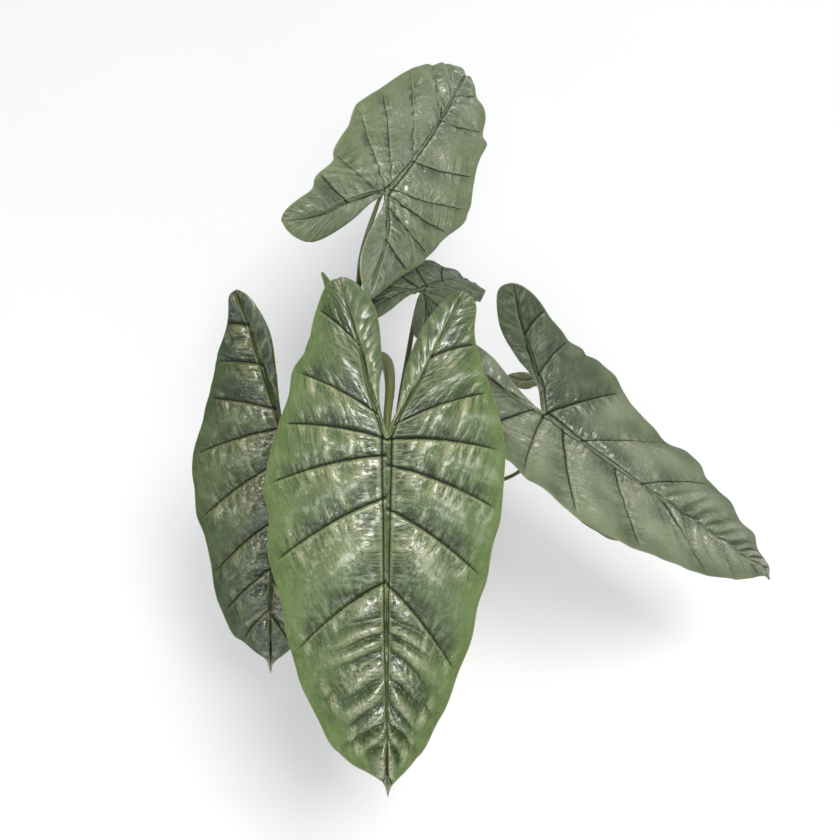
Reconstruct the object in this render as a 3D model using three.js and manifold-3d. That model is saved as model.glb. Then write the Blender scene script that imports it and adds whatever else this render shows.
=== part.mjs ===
// Potted alocasia heterophylla: six quilted, arrow-shaped leaves on arching stalks and one rolled
// new leaf rise from a short crown in a plain round nursery pot. Millimetres, +Z up. The origin is
// the middle of the pot's foot, on the surface that it stands on, and -Y is the front.
//
// Leaf coordinates: "along" is the distance from the stalk joint, positive to the tip and negative
// to the two basal lobes. "Across" is the distance from the midrib on one side. Left and right are
// as seen from above, looking from the stalk to the tip.
import * as THREE from 'three';
import { mergeVertices } from 'three/addons/utils/BufferGeometryUtils.js';
import Module from 'manifold-3d';

const wasm = await Module();
wasm.setup();

// Clearance between pieces that touch
const GAP = 0.3;

const POT = {
  height: 108,
  rimRadius: 60,
  bandRadius: 58.6,
  bandHeight: 14,
  neckRadius: 56.4,
  footRadius: 43,
  wall: 1.6,
  floor: 2.4,
  recessInner: 13,
  recessOuter: 36,
  recessDepth: 1.4,
  drainCount: 6,
  drainRadius: 4.2,
  drainCircle: 25,
  segments: 36,
};

const MIX = {
  top: 98,
  lump: 1.5,
  segments: 32,
};

const CROWN = {
  bottom: 80,
  top: 117,
  radius: 17.5,
  neckRadius: 15.5,
  sides: 22,
};

const BLADE = {
  halfThickness: 0.45,
  grooveDepth: 1.1,
  keelDepth: 2.6,
  quiltHeight: 3.4,
  quiltSpacing: 42,
  ruffle: 1.7,
  innerCrown: 1.3,
  fold: 8,
  arch: 0.003,
};

// Shares of the way from rib to margin, and from basal rib to sinus margin, where the sheet has rows
const OUTER_ROWS = [0, 0.08, 0.26, 0.45, 0.64, 0.83, 1];
const INNER_ROWS = [0, 0.5, 1];

// One half of a typical blade, 233 mm from joint to tip: margin, sinus margin, basal rib and veins.
// A vein is [start on the rib, end on the margin], both along; a start below 0 is on the basal rib.
const TYPICAL = {
  length: 233,
  margin: [
    [-98, 40], [-94, 51], [-69, 54], [-43, 60], [-9, 68], [35, 74], [75, 69], [100, 61],
    [124, 54], [149, 46], [177, 34], [205, 18], [218, 4], [233, 0],
  ],
  sinus: [[-98, 40], [-90, 22], [-66, 12], [-30, 8], [0, 0]],
  rib: [[0, 0], [-27, 12], [-56, 22], [-98, 40]],
  veins: [[-64, -72], [-16, -38], [0, -2], [13, 40], [38, 86], [89, 143], [134, 178], [168, 204]],
};

// heading: compass direction of the midrib, from +X towards +Y. pitch: how steeply it descends to
// the tip. roll: turn about the midrib, left side up. All in degrees at distances along the blade.
const LEAVES = [
  {
    name: 'leaf_front',
    joint: [5.5, -57, 330],
    length: 233,
    heading: [[0, -90]],
    pitch: [[-100, 10], [0, 22], [110, 35], [233, 50]],
    roll: [[0, 0]],
    lobeLift: { left: 0, right: 0 },
    left: {
      margin: [
        [-95, 49], [-85, 56], [-66, 55], [-43, 60], [-27, 66], [4, 73], [28, 72], [50, 70], [66, 65],
        [86, 62], [103, 56], [124, 52], [149, 43], [176, 33], [201, 20], [213, 12], [220, 5], [225, 2],
        [233, 0],
      ],
      sinus: [[-95, 49], [-91, 38], [-72, 23], [-45, 12], [-20, 7], [0, 0]],
      rib: [[0, 0], [-15, 8], [-37, 21], [-69, 36], [-95, 49]],
      veins: [[-66, -60], [-17, -29], [0, 8], [16, 45], [43, 88], [90, 147], [134, 181], [167, 206]],
    },
    right: {
      margin: [
        [-105, 31], [-97, 40], [-80, 46], [-57, 50], [-43, 59], [-26, 61], [-9, 67], [30, 76],
        [47, 72], [72, 73], [99, 65], [124, 61], [149, 54], [177, 43], [197, 32], [207, 23], [214, 12],
        [219, 5], [224, 2], [233, 0],
      ],
      sinus: [[-105, 31], [-101, 20], [-84, 8], [-57, 4], [-25, 5], [0, 0]],
      rib: [[0, 0], [-27, 10], [-56, 17], [-76, 23], [-105, 31]],
      veins: [[-59, -84], [-16, -43], [0, -9], [10, 29], [36, 78], [88, 134], [134, 171], [169, 202]],
    },
    stalk: {
      radii: [5.2, 4.6, 4.3, 4.2, 4.4, 3.3],
      route: [
        [-2, -11, 107], [-4, -2, 150], [-9, 13, 215], [-7, 23, 270], [-1, 19, 303], [5, 2, 321],
        [7, -20, 330], [5.5, -43, 329],
      ],
    },
    color: 0x6f8a52,
  },
  {
    name: 'leaf_left',
    joint: [-68, -13, 266],
    length: 206,
    heading: [[-100, -101], [0, -101], [200, -97]],
    pitch: [[-100, 26], [0, 50], [100, 50], [220, 67]],
    roll: [[-100, 19], [0, -3], [200, -21]],
    lobeLift: { left: 0, right: 34 },
    left: null,
    right: {
      margin: [
        [-87, 33], [-78, 39], [-51, 46], [-39, 50], [-28, 50], [-11, 54], [3, 55], [24, 60], [37, 60],
        [52, 57], [72, 55], [86, 48], [103, 44], [121, 41], [143, 35], [163, 26], [176, 15], [188, 4],
        [206, 0],
      ],
      sinus: [[-87, 33], [-83, 22], [-66, 11], [-42, 7], [-20, 4], [0, 0]],
      rib: [[0, 0], [-23, 9], [-43, 17], [-63, 24], [-87, 33]],
      veins: [[-74, -66], [-46, -39], [-13, -13], [0, 28], [25, 75], [70, 115], [108, 145], [142, 170]],
    },
    stalk: {
      radii: [4.6, 4.2, 3.8, 3.2],
      route: [[-10.6, -3, 107], [-15, 4, 145], [-26, 12, 200], [-42, 12, 245], [-57, 3, 266]],
    },
    color: 0x48583d,
  },
  {
    name: 'leaf_right',
    joint: [112, -2, 266],
    length: 228,
    heading: [[-100, -89], [0, -34], [200, -13]],
    pitch: [[-100, 29], [0, 17], [100, 28], [220, 48]],
    roll: [[-100, 21], [0, -9], [200, -1]],
    lobeLift: { left: 39, right: 21 },
    left: {
      margin: [
        [-97, 32], [-88, 39], [-60, 42], [-38, 48], [-13, 59], [11, 64], [28, 63], [44, 56], [62, 47],
        [86, 43], [109, 45], [130, 40], [157, 32], [183, 24], [206, 14], [228, 0],
      ],
      sinus: [[-97, 32], [-92, 18], [-70, 8], [-45, 9], [-27, 12], [-11, 9], [0, 0]],
      rib: [[0, 0], [-14, 13], [-30, 17], [-50, 20], [-75, 24], [-97, 32]],
      veins: [[-70, -72], [-34, -34], [0, 42], [31, 97], [84, 143], [130, 180], [170, 206]],
    },
    right: {
      margin: [
        [-74, 32], [-68, 40], [-52, 45], [-34, 48], [8, 53], [22, 54], [56, 54], [80, 53], [103, 46],
        [128, 42], [150, 35], [176, 25], [197, 14], [214, 4], [228, 0],
      ],
      sinus: [[-74, 32], [-70, 18], [-52, 5], [-26, 1], [0, 0]],
      rib: [[0, 0], [-22, 8], [-40, 15], [-58, 24], [-74, 32]],
      veins: [[-45, -50], [-7, -22], [0, 10], [16, 52], [60, 100], [104, 156], [145, 186], [182, 208]],
    },
    stalk: {
      radii: [4.8, 4.3, 3.8, 3.2],
      route: [[11, 2, 107], [20, 7, 140], [38, 14, 182], [62, 14, 224], [88, 9, 252], [100, 5, 259]],
    },
    color: 0x6d7762,
  },
  {
    name: 'leaf_back',
    joint: [1, 167, 300],
    length: 218,
    heading: [[-100, 61], [0, 62], [200, 79]],
    pitch: [[-100, 11], [0, 9], [100, 13.5], [174, 21], [192, 50], [218, 115]],
    roll: [[-100, 58], [0, 49], [200, 33]],
    lobeLift: { left: -25, right: 27 },
    left: {
      margin: [
        [-89, 36], [-80, 43], [-60, 43], [-49, 47], [-30, 48], [-19, 54], [1, 57], [21, 61], [38, 60],
        [62, 55], [97, 48], [124, 41], [148, 31], [163, 24], [180, 17], [196, 9], [218, 0],
      ],
      sinus: [[-89, 36], [-86, 22], [-74, 10], [-45, 5], [-20, 4], [0, 0]],
      rib: [[0, 0], [-12, 8], [-41, 19], [-61, 24], [-89, 36]],
      veins: [[-45, -45], [-14, -24], [0, 26], [8, 68], [46, 118], [110, 154], [150, 178]],
    },
    right: {
      margin: [
        [-88, 32], [-75, 38], [-60, 43], [-26, 54], [0, 59], [14, 58], [37, 63], [60, 62], [69, 55],
        [86, 51], [105, 45], [122, 43], [134, 38], [148, 32], [163, 23], [178, 14], [194, 6], [218, 0],
      ],
      sinus: [[-88, 32], [-87, 20], [-70, 11], [-38, 7], [-14, 5], [0, 0]],
      rib: [[0, 0], [-10, 9], [-22, 18], [-37, 25], [-65, 29], [-88, 32]],
      veins: [[-50, -27], [-14, 0], [0, 28], [5, 60], [43, 88], [103, 136], [145, 172]],
    },
    stalk: {
      radii: [4.8, 4.2, 3.2, 2.4, 2.1],
      route: [
        [-6.5, 9, 107], [-10, 30, 150], [-17, 66, 205], [-21, 102, 250], [-19, 112, 266], [-17, 123, 279],
        [-13, 135, 289], [-8, 150, 295],
      ],
    },
    color: 0x7d8770,
  },
  {
    name: 'leaf_small',
    joint: [27, 108, 260],
    length: 84,
    heading: [[-55, 68], [0, 50], [60, 26], [84, 6]],
    pitch: [[-55, -14], [0, 20], [42, 38], [66, 62], [84, 92]],
    roll: [[-55, -18], [0, -10], [60, -16]],
    lobeLift: { left: 0, right: 0 },
    left: {
      margin: [
        [-47, 25], [-44, 30], [-33, 32], [-12, 35], [14, 36], [30, 30], [43, 21], [54, 13], [65, 7],
        [75, 3], [84, 0],
      ],
      sinus: [[-47, 25], [-42, 13], [-30, 6], [-14, 3], [0, 0]],
      rib: [[0, 0], [-13, 9], [-28, 16], [-47, 25]],
      veins: [[-28, -34], [-6, -17], [0, 6], [8, 26], [26, 45], [46, 65]],
    },
    right: {
      margin: [
        [-50, 34], [-43, 42], [-26, 43], [-6, 42], [12, 41], [28, 37], [42, 29], [54, 20], [65, 12],
        [75, 5], [84, 0],
      ],
      sinus: [[-50, 34], [-47, 24], [-34, 16], [-16, 9], [0, 0]],
      rib: [[0, 0], [-12, 13], [-27, 23], [-50, 34]],
      veins: [[-30, -36], [-7, -18], [0, 6], [8, 26], [26, 45], [46, 65]],
    },
    stalk: {
      radii: [3.8, 3.1, 2.4, 1.9],
      route: [[4.6, 10, 107], [6, 26, 145], [11, 50, 195], [17, 68, 231], [21, 84, 249], [24, 97, 256]],
    },
    color: 0x525c4b,
  },
  {
    name: 'leaf_low',
    joint: [130, 14, 200],
    length: 148,
    heading: [[-90, -56], [0, -36], [148, -10]],
    pitch: [[-90, 20], [0, 24], [75, 32], [148, 46]],
    roll: [[-90, 8], [0, -2]],
    lobeLift: { left: 0, right: 0 },
    left: {
      margin: [
        [-62, 4], [-59, 12], [-52, 20], [-43, 29], [-28, 37], [-6, 42], [20, 42], [45, 37], [70, 30],
        [98, 20], [125, 9], [148, 0],
      ],
      sinus: [[-62, 4], [-53, 3], [-45, 9], [-41, 17], [-26, 16], [-11, 8], [0, 0]],
      rib: [[0, 0], [-12, 11], [-27, 22], [-43, 23], [-52, 12], [-62, 4]],
      veins: [[-52, -50], [-22, -24], [0, 10], [12, 38], [38, 72], [72, 108]],
    },
    right: {
      margin: [
        [-60, 26], [-56, 32], [-40, 34], [-20, 36], [5, 38], [25, 39], [45, 43], [58, 44], [70, 40],
        [84, 33], [100, 26], [118, 17], [135, 8], [148, 0],
      ],
      sinus: [[-60, 26], [-57, 14], [-42, 8], [-20, 5], [0, 0]],
      rib: [[0, 0], [-17, 8], [-36, 16], [-60, 26]],
      veins: [[-38, -42], [-9, -20], [0, 10], [12, 40], [38, 72], [72, 108]],
    },
    stalk: {
      radii: [3.2, 2.3, 1.6, 1.4],
      route: [[8, -8, 107], [16, -8, 122], [38, -3, 138], [72, -1, 154], [97, 1, 168], [114, 8, 185]],
    },
    color: 0x4a5840,
  },
];

const SPEAR = {
  route: [[0, 0, 107], [-6, 15, 145], [-20, 47, 205], [-31, 67, 275], [-37, 73, 312], [-40, 72, 328]],
  radii: [3.2, 3.3, 3.4, 3.6, 3.8, 4, 4.1, 4.2, 4.3, 4, 1],
  sides: 8,
};

const STALK = {
  sides: 8,
  steps: 15,
  // Depth of the stalk's axis below the sheet where it runs in under the blade
  underBlade: [[0, 4.4], [9, 3.4]],
  tipShare: 0.55,
};

const COLORS = {
  pot: 0x2b2c2d,
  mix: 0x3a2d22,
  crown: 0x6b5b43,
  stalk: 0x4d5236,
  spear: 0x5f7332,
};

// Value at x in a table of [x, value], straight between its rows and level past its ends.
function lookUp(table, x) {
  if (x <= table[0][0]) return table[0][1];
  for (let i = 1; i < table.length; i += 1) {
    const [x0, v0] = table[i - 1];
    const [x1, v1] = table[i];
    if (x <= x1) return v0 + ((v1 - v0) * (x - x0)) / (x1 - x0);
  }
  return table[table.length - 1][1];
}

// Smooth curve through flat points, as a list of close-set samples. It leaves its first point as if
// it came from the point before, if one is given.
function smoothLine(points, before = null, samplesPerSpan = 8) {
  const through = before ? [before, ...points] : points;
  const curve = new THREE.CatmullRomCurve3(
    through.map(([x, y]) => new THREE.Vector3(x, y, 0)), false, 'catmullrom', 0.5);
  const count = (through.length - 1) * samplesPerSpan;
  const samples = Array.from({ length: count + 1 }, (_, i) => curve.getPoint(i / count));
  return before ? samples.slice(samplesPerSpan) : samples;
}

// Point at a share (0 to 1) of a sampled line's length, counted in samples.
function lineAt(line, share) {
  const position = THREE.MathUtils.clamp(share, 0, 1) * (line.length - 1);
  const index = Math.min(Math.floor(position), line.length - 2);
  return line[index].clone().lerp(line[index + 1], position - index);
}

// Share of a margin line at which it first reaches the given place along the blade.
function shareWhereAlong(line, along) {
  for (let i = 1; i < line.length; i += 1) {
    if (line[i].x >= along && line[i].x > line[i - 1].x) {
      const part = (along - line[i - 1].x) / (line[i].x - line[i - 1].x);
      return (i - 1 + Math.max(part, 0)) / (line.length - 1);
    }
  }
  return 1;
}

// Typical half blade scaled to a leaf's length and width.
function typicalHalf(length, width = 1) {
  const k = length / TYPICAL.length;
  const scaled = (points) => points.map(([along, across]) => [along * k, across * k * width]);
  return {
    margin: scaled(TYPICAL.margin),
    sinus: scaled(TYPICAL.sinus),
    rib: scaled(TYPICAL.rib),
    veins: TYPICAL.veins.map(([start, end]) => [start * k, end * k]),
  };
}

// Curved surface of one leaf: turns leaf coordinates into places in the plant's frame.
class BladeSurface {
  constructor(leaf) {
    this.leaf = leaf;
    this.step = 2;
    this.back = 130;
    this.spine = this.traceSpine();
    this.halves = {
      left: this.readHalf(leaf.left ?? typicalHalf(leaf.length)),
      right: this.readHalf(leaf.right ?? typicalHalf(leaf.length)),
    };
  }

  // Directions at a place along the blade: forward, to the left and out of the upper face.
  axes(along) {
    const heading = THREE.MathUtils.degToRad(lookUp(this.leaf.heading, along));
    const pitch = THREE.MathUtils.degToRad(lookUp(this.leaf.pitch, along));
    const roll = THREE.MathUtils.degToRad(lookUp(this.leaf.roll, along));
    const forward = new THREE.Vector3(
      Math.cos(pitch) * Math.cos(heading), Math.cos(pitch) * Math.sin(heading), -Math.sin(pitch));
    const level = new THREE.Vector3(-Math.sin(heading), Math.cos(heading), 0);
    const upright = forward.clone().cross(level);
    const left = level.clone().multiplyScalar(Math.cos(roll)).addScaledVector(upright, Math.sin(roll));
    const up = upright.multiplyScalar(Math.cos(roll)).addScaledVector(level, -Math.sin(roll));
    return { forward, left, up };
  }

  traceSpine() {
    const ahead = [new THREE.Vector3(...this.leaf.joint)];
    const behind = [ahead[0]];
    for (let d = 0; d < this.leaf.length + 20; d += this.step) {
      const forward = this.axes(d + this.step / 2).forward;
      ahead.push(ahead[ahead.length - 1].clone().addScaledVector(forward, this.step));
    }
    for (let d = 0; d < this.back; d += this.step) {
      const forward = this.axes(-d - this.step / 2).forward;
      behind.push(behind[behind.length - 1].clone().addScaledVector(forward, -this.step));
    }
    return [...behind.slice(1).reverse(), ...ahead];
  }

  // Place of leaf coordinates (along, signed across), lifted off the sheet by lift.
  place(along, across, lift = 0) {
    const position = (along + this.back) / this.step;
    const index = THREE.MathUtils.clamp(Math.floor(position), 0, this.spine.length - 2);
    const base = this.spine[index].clone().lerp(this.spine[index + 1], position - index);
    const { left, up } = this.axes(along);
    const fold = THREE.MathUtils.degToRad(BLADE.fold);
    const width = Math.abs(across);
    const out = (Math.sin(fold) - Math.sin(fold - BLADE.arch * width)) / BLADE.arch;
    let rise = (Math.cos(fold - BLADE.arch * width) - Math.cos(fold)) / BLADE.arch;
    if (along < 0) {
      const lobeLift = across > 0 ? this.leaf.lobeLift.left : this.leaf.lobeLift.right;
      rise += lobeLift * (along / 100) ** 2;
    }
    return base.addScaledVector(left, Math.sign(across) * out).addScaledVector(up, rise + lift);
  }

  // Sampled lines of one half, with its veins as rows of rib start and share of the margin.
  readHalf(half) {
    const margin = smoothLine(half.margin, half.sinus[1]);
    const sinus = smoothLine(half.sinus, half.margin[1]);
    const rib = smoothLine(half.rib);
    let ribLength = 0;
    for (let i = 1; i < rib.length; i += 1) ribLength += rib[i].distanceTo(rib[i - 1]);
    const rows = [
      { start: -ribLength, share: 0 },
      ...half.veins.map(([start, end]) => ({ start, share: shareWhereAlong(margin, end) })),
      { start: this.leaf.length, share: 1 },
    ];
    const joint = rows.findIndex((row) => row.start === 0);
    return { margin, sinus, rib, ribLength, rows, joint };
  }

  // Start on the rib of the vein line s, where whole numbers of s are veins.
  ribStart(half, s) {
    const index = Math.min(Math.floor(s), half.rows.length - 2);
    const part = s - index;
    return half.rows[index].start * (1 - part) + half.rows[index + 1].start * part;
  }

  marginShare(half, s) {
    const index = Math.min(Math.floor(s), half.rows.length - 2);
    const part = s - index;
    return half.rows[index].share * (1 - part) + half.rows[index + 1].share * part;
  }

  ribPoint(half, start) {
    if (start < 0) return lineAt(half.rib, -start / half.ribLength);
    return new THREE.Vector3(start, 0, 0);
  }

  // Leaf coordinates on the vein line s at share w from rib to margin. Vein lines bow to the stalk.
  outerPoint(half, s, w) {
    const start = this.ribStart(half, s);
    const from = this.ribPoint(half, start);
    const to = lineAt(half.margin, this.marginShare(half, s));
    const bow = 0.08 + 0.16 * Math.max(start, 0) / this.leaf.length;
    const bend = from.clone().lerp(to, 0.5);
    bend.x -= bow * from.distanceTo(to);
    return from.multiplyScalar((1 - w) ** 2)
      .addScaledVector(bend, 2 * w * (1 - w))
      .addScaledVector(to, w * w);
  }

  innerPoint(half, s, w) {
    const start = this.ribStart(half, s);
    const to = lineAt(half.sinus, 1 + start / half.ribLength);
    return this.ribPoint(half, start).lerp(to, w);
  }

  // Height of the sheet's quilting: it sinks to the rib and veins and swells between them.
  outerRelief(half, s, w) {
    const index = Math.min(Math.floor(s), half.rows.length - 2);
    const spacing = half.rows[index + 1].start - half.rows[index].start;
    const height = BLADE.quiltHeight * Math.min(1, Math.max(spacing, 24) / BLADE.quiltSpacing);
    const between = Math.sin(Math.PI * (s - index)) ** 2;
    const swell = height * between * Math.sin(Math.PI * w ** 0.7);
    const ruffle = -BLADE.ruffle * Math.cos(2 * Math.PI * s) * w ** 3;
    const groove = w === 0 ? -BLADE.grooveDepth : 0;
    return swell + ruffle + groove;
  }

  innerRelief(w) {
    return w === 0 ? -BLADE.grooveDepth : BLADE.innerCrown * Math.sin(Math.PI * w);
  }

  // Depth of the round rib that stands out below the sheet.
  keel(start, half) {
    const shareOut = start < 0 ? -start / half.ribLength : start / this.leaf.length;
    return BLADE.keelDepth * (1 - shareOut) ** 0.8 * Math.min(1, 0.25 + Math.abs(start) / 30);
  }
}

// Sheet of triangles over one leaf: places, and how far the underside hangs below each.
function bladeSheet(surface) {
  const places = [];
  const keels = [];
  const triangles = [];
  const addPlace = (along, across, relief, keel) => {
    places.push(surface.place(along, across, relief));
    keels.push(keel);
    return places.length - 1;
  };

  // Stations of one half along its rib: every vein and the middle between two veins
  const stationsOf = (half) => {
    const list = [];
    for (let s = 0; s <= half.rows.length - 1; s += 0.5) list.push(s);
    return list;
  };

  // Midrib places shared by both halves, in order from the joint to the tip
  const nearest = 3;
  const starts = [];
  for (const half of Object.values(surface.halves)) {
    for (const s of stationsOf(half)) {
      const start = surface.ribStart(half, s);
      if (start >= 0 && !starts.some((other) => Math.abs(other - start) < nearest)) starts.push(start);
    }
  }
  starts.sort((a, b) => a - b);
  const midrib = starts.map((start) => {
    const groove = start === surface.leaf.length ? 0 : -BLADE.grooveDepth;
    return addPlace(start, 0, groove, surface.keel(start, surface.halves.left));
  });
  const midribIndex = (start) => {
    let best = 0;
    starts.forEach((other, i) => {
      if (Math.abs(other - start) < Math.abs(starts[best] - start)) best = i;
    });
    return best;
  };

  for (const side of ['left', 'right']) {
    const half = surface.halves[side];
    const sign = side === 'left' ? 1 : -1;
    const stations = stationsOf(half);
    const last = stations.length - 1;
    const push = (a, b, c) => {
      if (a === b || b === c || a === c) return;
      triangles.push(sign > 0 ? [a, b, c] : [a, c, b]);
    };
    const lobeEnd = addPlace(half.margin[0].x, sign * half.margin[0].y, 0, 0);
    const tip = midrib[midrib.length - 1];
    const jointStation = half.joint * 2;

    const columns = stations.map((s, i) => {
      if (i === 0) return OUTER_ROWS.map(() => lobeEnd);
      if (i === last) return OUTER_ROWS.map(() => tip);
      const start = surface.ribStart(half, s);
      return OUTER_ROWS.map((w) => {
        if (w === 0 && start >= 0) return midrib[midribIndex(start)];
        const point = surface.outerPoint(half, s, w);
        const keel = w === 0 ? surface.keel(start, half) : 0;
        return addPlace(point.x, sign * point.y, surface.outerRelief(half, s, w), keel);
      });
    });

    for (let i = 0; i < last; i += 1) {
      const near = columns[i];
      const far = columns[i + 1];
      const ribRun = [near[0], far[0]];
      if (i >= jointStation) {
        const from = midrib.indexOf(near[0]);
        const to = midrib.indexOf(far[0]);
        ribRun.splice(0, 2, ...midrib.slice(from, to + 1));
      }
      for (let j = 1; j < ribRun.length; j += 1) push(ribRun[j - 1], ribRun[j], near[1]);
      push(far[0], far[1], near[1]);
      for (let j = 1; j < OUTER_ROWS.length - 1; j += 1) {
        push(near[j], far[j], far[j + 1]);
        push(near[j], far[j + 1], near[j + 1]);
      }
    }

    const inner = stations.slice(0, jointStation + 1).map((s, i) => {
      if (i === 0) return INNER_ROWS.map(() => lobeEnd);
      if (i === jointStation) return INNER_ROWS.map(() => midrib[0]);
      return INNER_ROWS.map((w) => {
        if (w === 0) return columns[i][0];
        const point = surface.innerPoint(half, s, w);
        return addPlace(point.x, sign * point.y, surface.innerRelief(w), 0);
      });
    });
    for (let i = 0; i < jointStation; i += 1) {
      for (let j = 0; j < INNER_ROWS.length - 1; j += 1) {
        push(inner[i][j], inner[i + 1][j + 1], inner[i + 1][j]);
        push(inner[i][j], inner[i][j + 1], inner[i + 1][j + 1]);
      }
    }
  }
  return { places, keels, triangles };
}

// Closed solid from a sheet: both faces have the same triangles, and walls close its border.
// grow makes it larger all round, for cutting a neighbour clear of it.
function thickenSheet({ places, keels, triangles }, grow = 0) {
  const normals = places.map(() => new THREE.Vector3());
  const ab = new THREE.Vector3();
  const ac = new THREE.Vector3();
  for (const [a, b, c] of triangles) {
    ab.subVectors(places[b], places[a]);
    ac.subVectors(places[c], places[a]);
    const normal = ab.clone().cross(ac);
    for (const index of [a, b, c]) normals[index].add(normal);
  }
  const half = BLADE.halfThickness + grow;
  const positions = [];
  places.forEach((place, i) => {
    const p = place.clone().addScaledVector(normals[i].normalize(), half);
    positions.push(p.x, p.y, p.z);
  });
  places.forEach((place, i) => {
    const p = place.clone().addScaledVector(normals[i], -half - keels[i]);
    positions.push(p.x, p.y, p.z);
  });
  const count = places.length;
  const indices = [];
  const borders = new Map();
  for (const [a, b, c] of triangles) {
    indices.push(a, b, c, a + count, c + count, b + count);
    for (const [from, to] of [[a, b], [b, c], [c, a]]) {
      const back = `${to},${from}`;
      if (borders.has(back)) borders.delete(back);
      else borders.set(`${from},${to}`, [from, to]);
    }
  }
  for (const [from, to] of borders.values()) {
    indices.push(from, from + count, to + count, from, to + count, to);
  }
  return indexedGeometry(positions, indices);
}

function indexedGeometry(positions, indices) {
  const geometry = new THREE.BufferGeometry();
  geometry.setAttribute('position', new THREE.Float32BufferAttribute(positions, 3));
  geometry.setIndex(indices);
  return geometry;
}

// Round rod along a smooth route, with its radius read from evenly spaced values. A list of two
// radii or more is stretched over the whole length.
function taperedRod(points, radii, sides, steps, grow = 0) {
  const curve = new THREE.CatmullRomCurve3(points, false, 'centripetal');
  const frames = curve.computeFrenetFrames(steps, false);
  const table = radii.map((radius, i) => [i / (radii.length - 1), radius]);
  const positions = [];
  const indices = [];
  for (let i = 0; i <= steps; i += 1) {
    const centre = curve.getPointAt(i / steps);
    const radius = lookUp(table, i / steps) + grow;
    for (let k = 0; k < sides; k += 1) {
      const angle = (2 * Math.PI * k) / sides;
      const p = centre.clone()
        .addScaledVector(frames.normals[i], radius * Math.cos(angle))
        .addScaledVector(frames.binormals[i], radius * Math.sin(angle));
      positions.push(p.x, p.y, p.z);
    }
  }
  for (let i = 0; i < steps; i += 1) {
    for (let k = 0; k < sides; k += 1) {
      const next = (k + 1) % sides;
      const a = i * sides + k;
      const b = i * sides + next;
      indices.push(a, b, b + sides, a, b + sides, a + sides);
    }
  }
  for (const [ring, end] of [[0, 0], [steps, 1]]) {
    const centre = curve.getPointAt(end);
    positions.push(centre.x, centre.y, centre.z);
    const middle = positions.length / 3 - 1;
    for (let k = 0; k < sides; k += 1) {
      const a = ring * sides + k;
      const b = ring * sides + ((k + 1) % sides);
      if (end === 0) indices.push(middle, b, a);
      else indices.push(middle, a, b);
    }
  }
  return indexedGeometry(positions, indices);
}

// Solid for joining and cutting, from a closed geometry.
function toSolid(geometry) {
  const bare = geometry.clone();
  bare.deleteAttribute('normal');
  bare.deleteAttribute('uv');
  const merged = mergeVertices(bare, 1e-4);
  return new wasm.Manifold(new wasm.Mesh({
    numProp: 3,
    vertProperties: new Float32Array(merged.attributes.position.array),
    triVerts: new Uint32Array(merged.index.array),
  }));
}

function toGeometry(solid) {
  const mesh = solid.getMesh();
  return indexedGeometry(Array.from(mesh.vertProperties), Array.from(mesh.triVerts));
}

// Body turned about Z from a profile of [radius, height] that starts and ends on the axis.
function turned(profile, segments) {
  const geometry = new THREE.LatheGeometry(profile.map(([r, z]) => new THREE.Vector2(r, z)), segments);
  return geometry.rotateX(Math.PI / 2);
}

function stalkPoints(surface) {
  const route = surface.leaf.stalk.route.map((point) => new THREE.Vector3(...point));
  const end = STALK.underBlade.map(([along, depth]) => surface.place(along, 0, -depth));
  return [...route, ...end];
}

function stalkGeometry(surface, grow = 0) {
  const { radii } = surface.leaf.stalk;
  const ending = [...radii, radii[radii.length - 1] * STALK.tipShare];
  return taperedRod(stalkPoints(surface), ending, STALK.sides, STALK.steps, grow);
}

function spearGeometry(grow = 0) {
  const route = SPEAR.route.map((point) => new THREE.Vector3(...point));
  return taperedRod(route, SPEAR.radii, SPEAR.sides, STALK.steps, grow);
}

function potGeometry() {
  const inner = POT.wall;
  const profile = [
    [0, 0],
    [POT.recessInner, 0],
    [POT.recessInner + 1, POT.recessDepth],
    [POT.recessOuter - 1, POT.recessDepth],
    [POT.recessOuter, 0],
    [POT.footRadius, 0],
    [POT.neckRadius, POT.height - POT.bandHeight],
    [POT.bandRadius, POT.height - POT.bandHeight],
    [POT.rimRadius, POT.height - 2],
    [POT.rimRadius, POT.height],
    [POT.rimRadius - inner - 1, POT.height],
    [POT.bandRadius - inner, POT.height - POT.bandHeight + 2],
    [POT.neckRadius - inner, POT.height - POT.bandHeight - 2],
    [POT.footRadius - inner, POT.recessDepth + POT.floor],
    [0, POT.recessDepth + POT.floor],
  ];
  let pot = toSolid(turned(profile, POT.segments));
  const drillLength = 20;
  for (let i = 0; i < POT.drainCount; i += 1) {
    const angle = (2 * Math.PI * i) / POT.drainCount;
    const drill = new THREE.CylinderGeometry(POT.drainRadius, POT.drainRadius, drillLength, 12);
    drill.rotateX(Math.PI / 2);
    drill.translate(POT.drainCircle * Math.cos(angle), POT.drainCircle * Math.sin(angle), 0);
    pot = pot.subtract(toSolid(drill));
  }
  return toGeometry(pot);
}

// Radius of the pot's inner wall at a height, less the gap to what fills it.
function fillRadius(z) {
  const low = POT.recessDepth + POT.floor;
  const high = POT.height - POT.bandHeight - 2;
  const slope = (POT.neckRadius - POT.footRadius) / (high - low);
  const facet = Math.cos(Math.PI / POT.segments);
  return (POT.footRadius - POT.wall + slope * (Math.min(z, high) - low)) * facet - GAP - 0.2;
}

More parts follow.
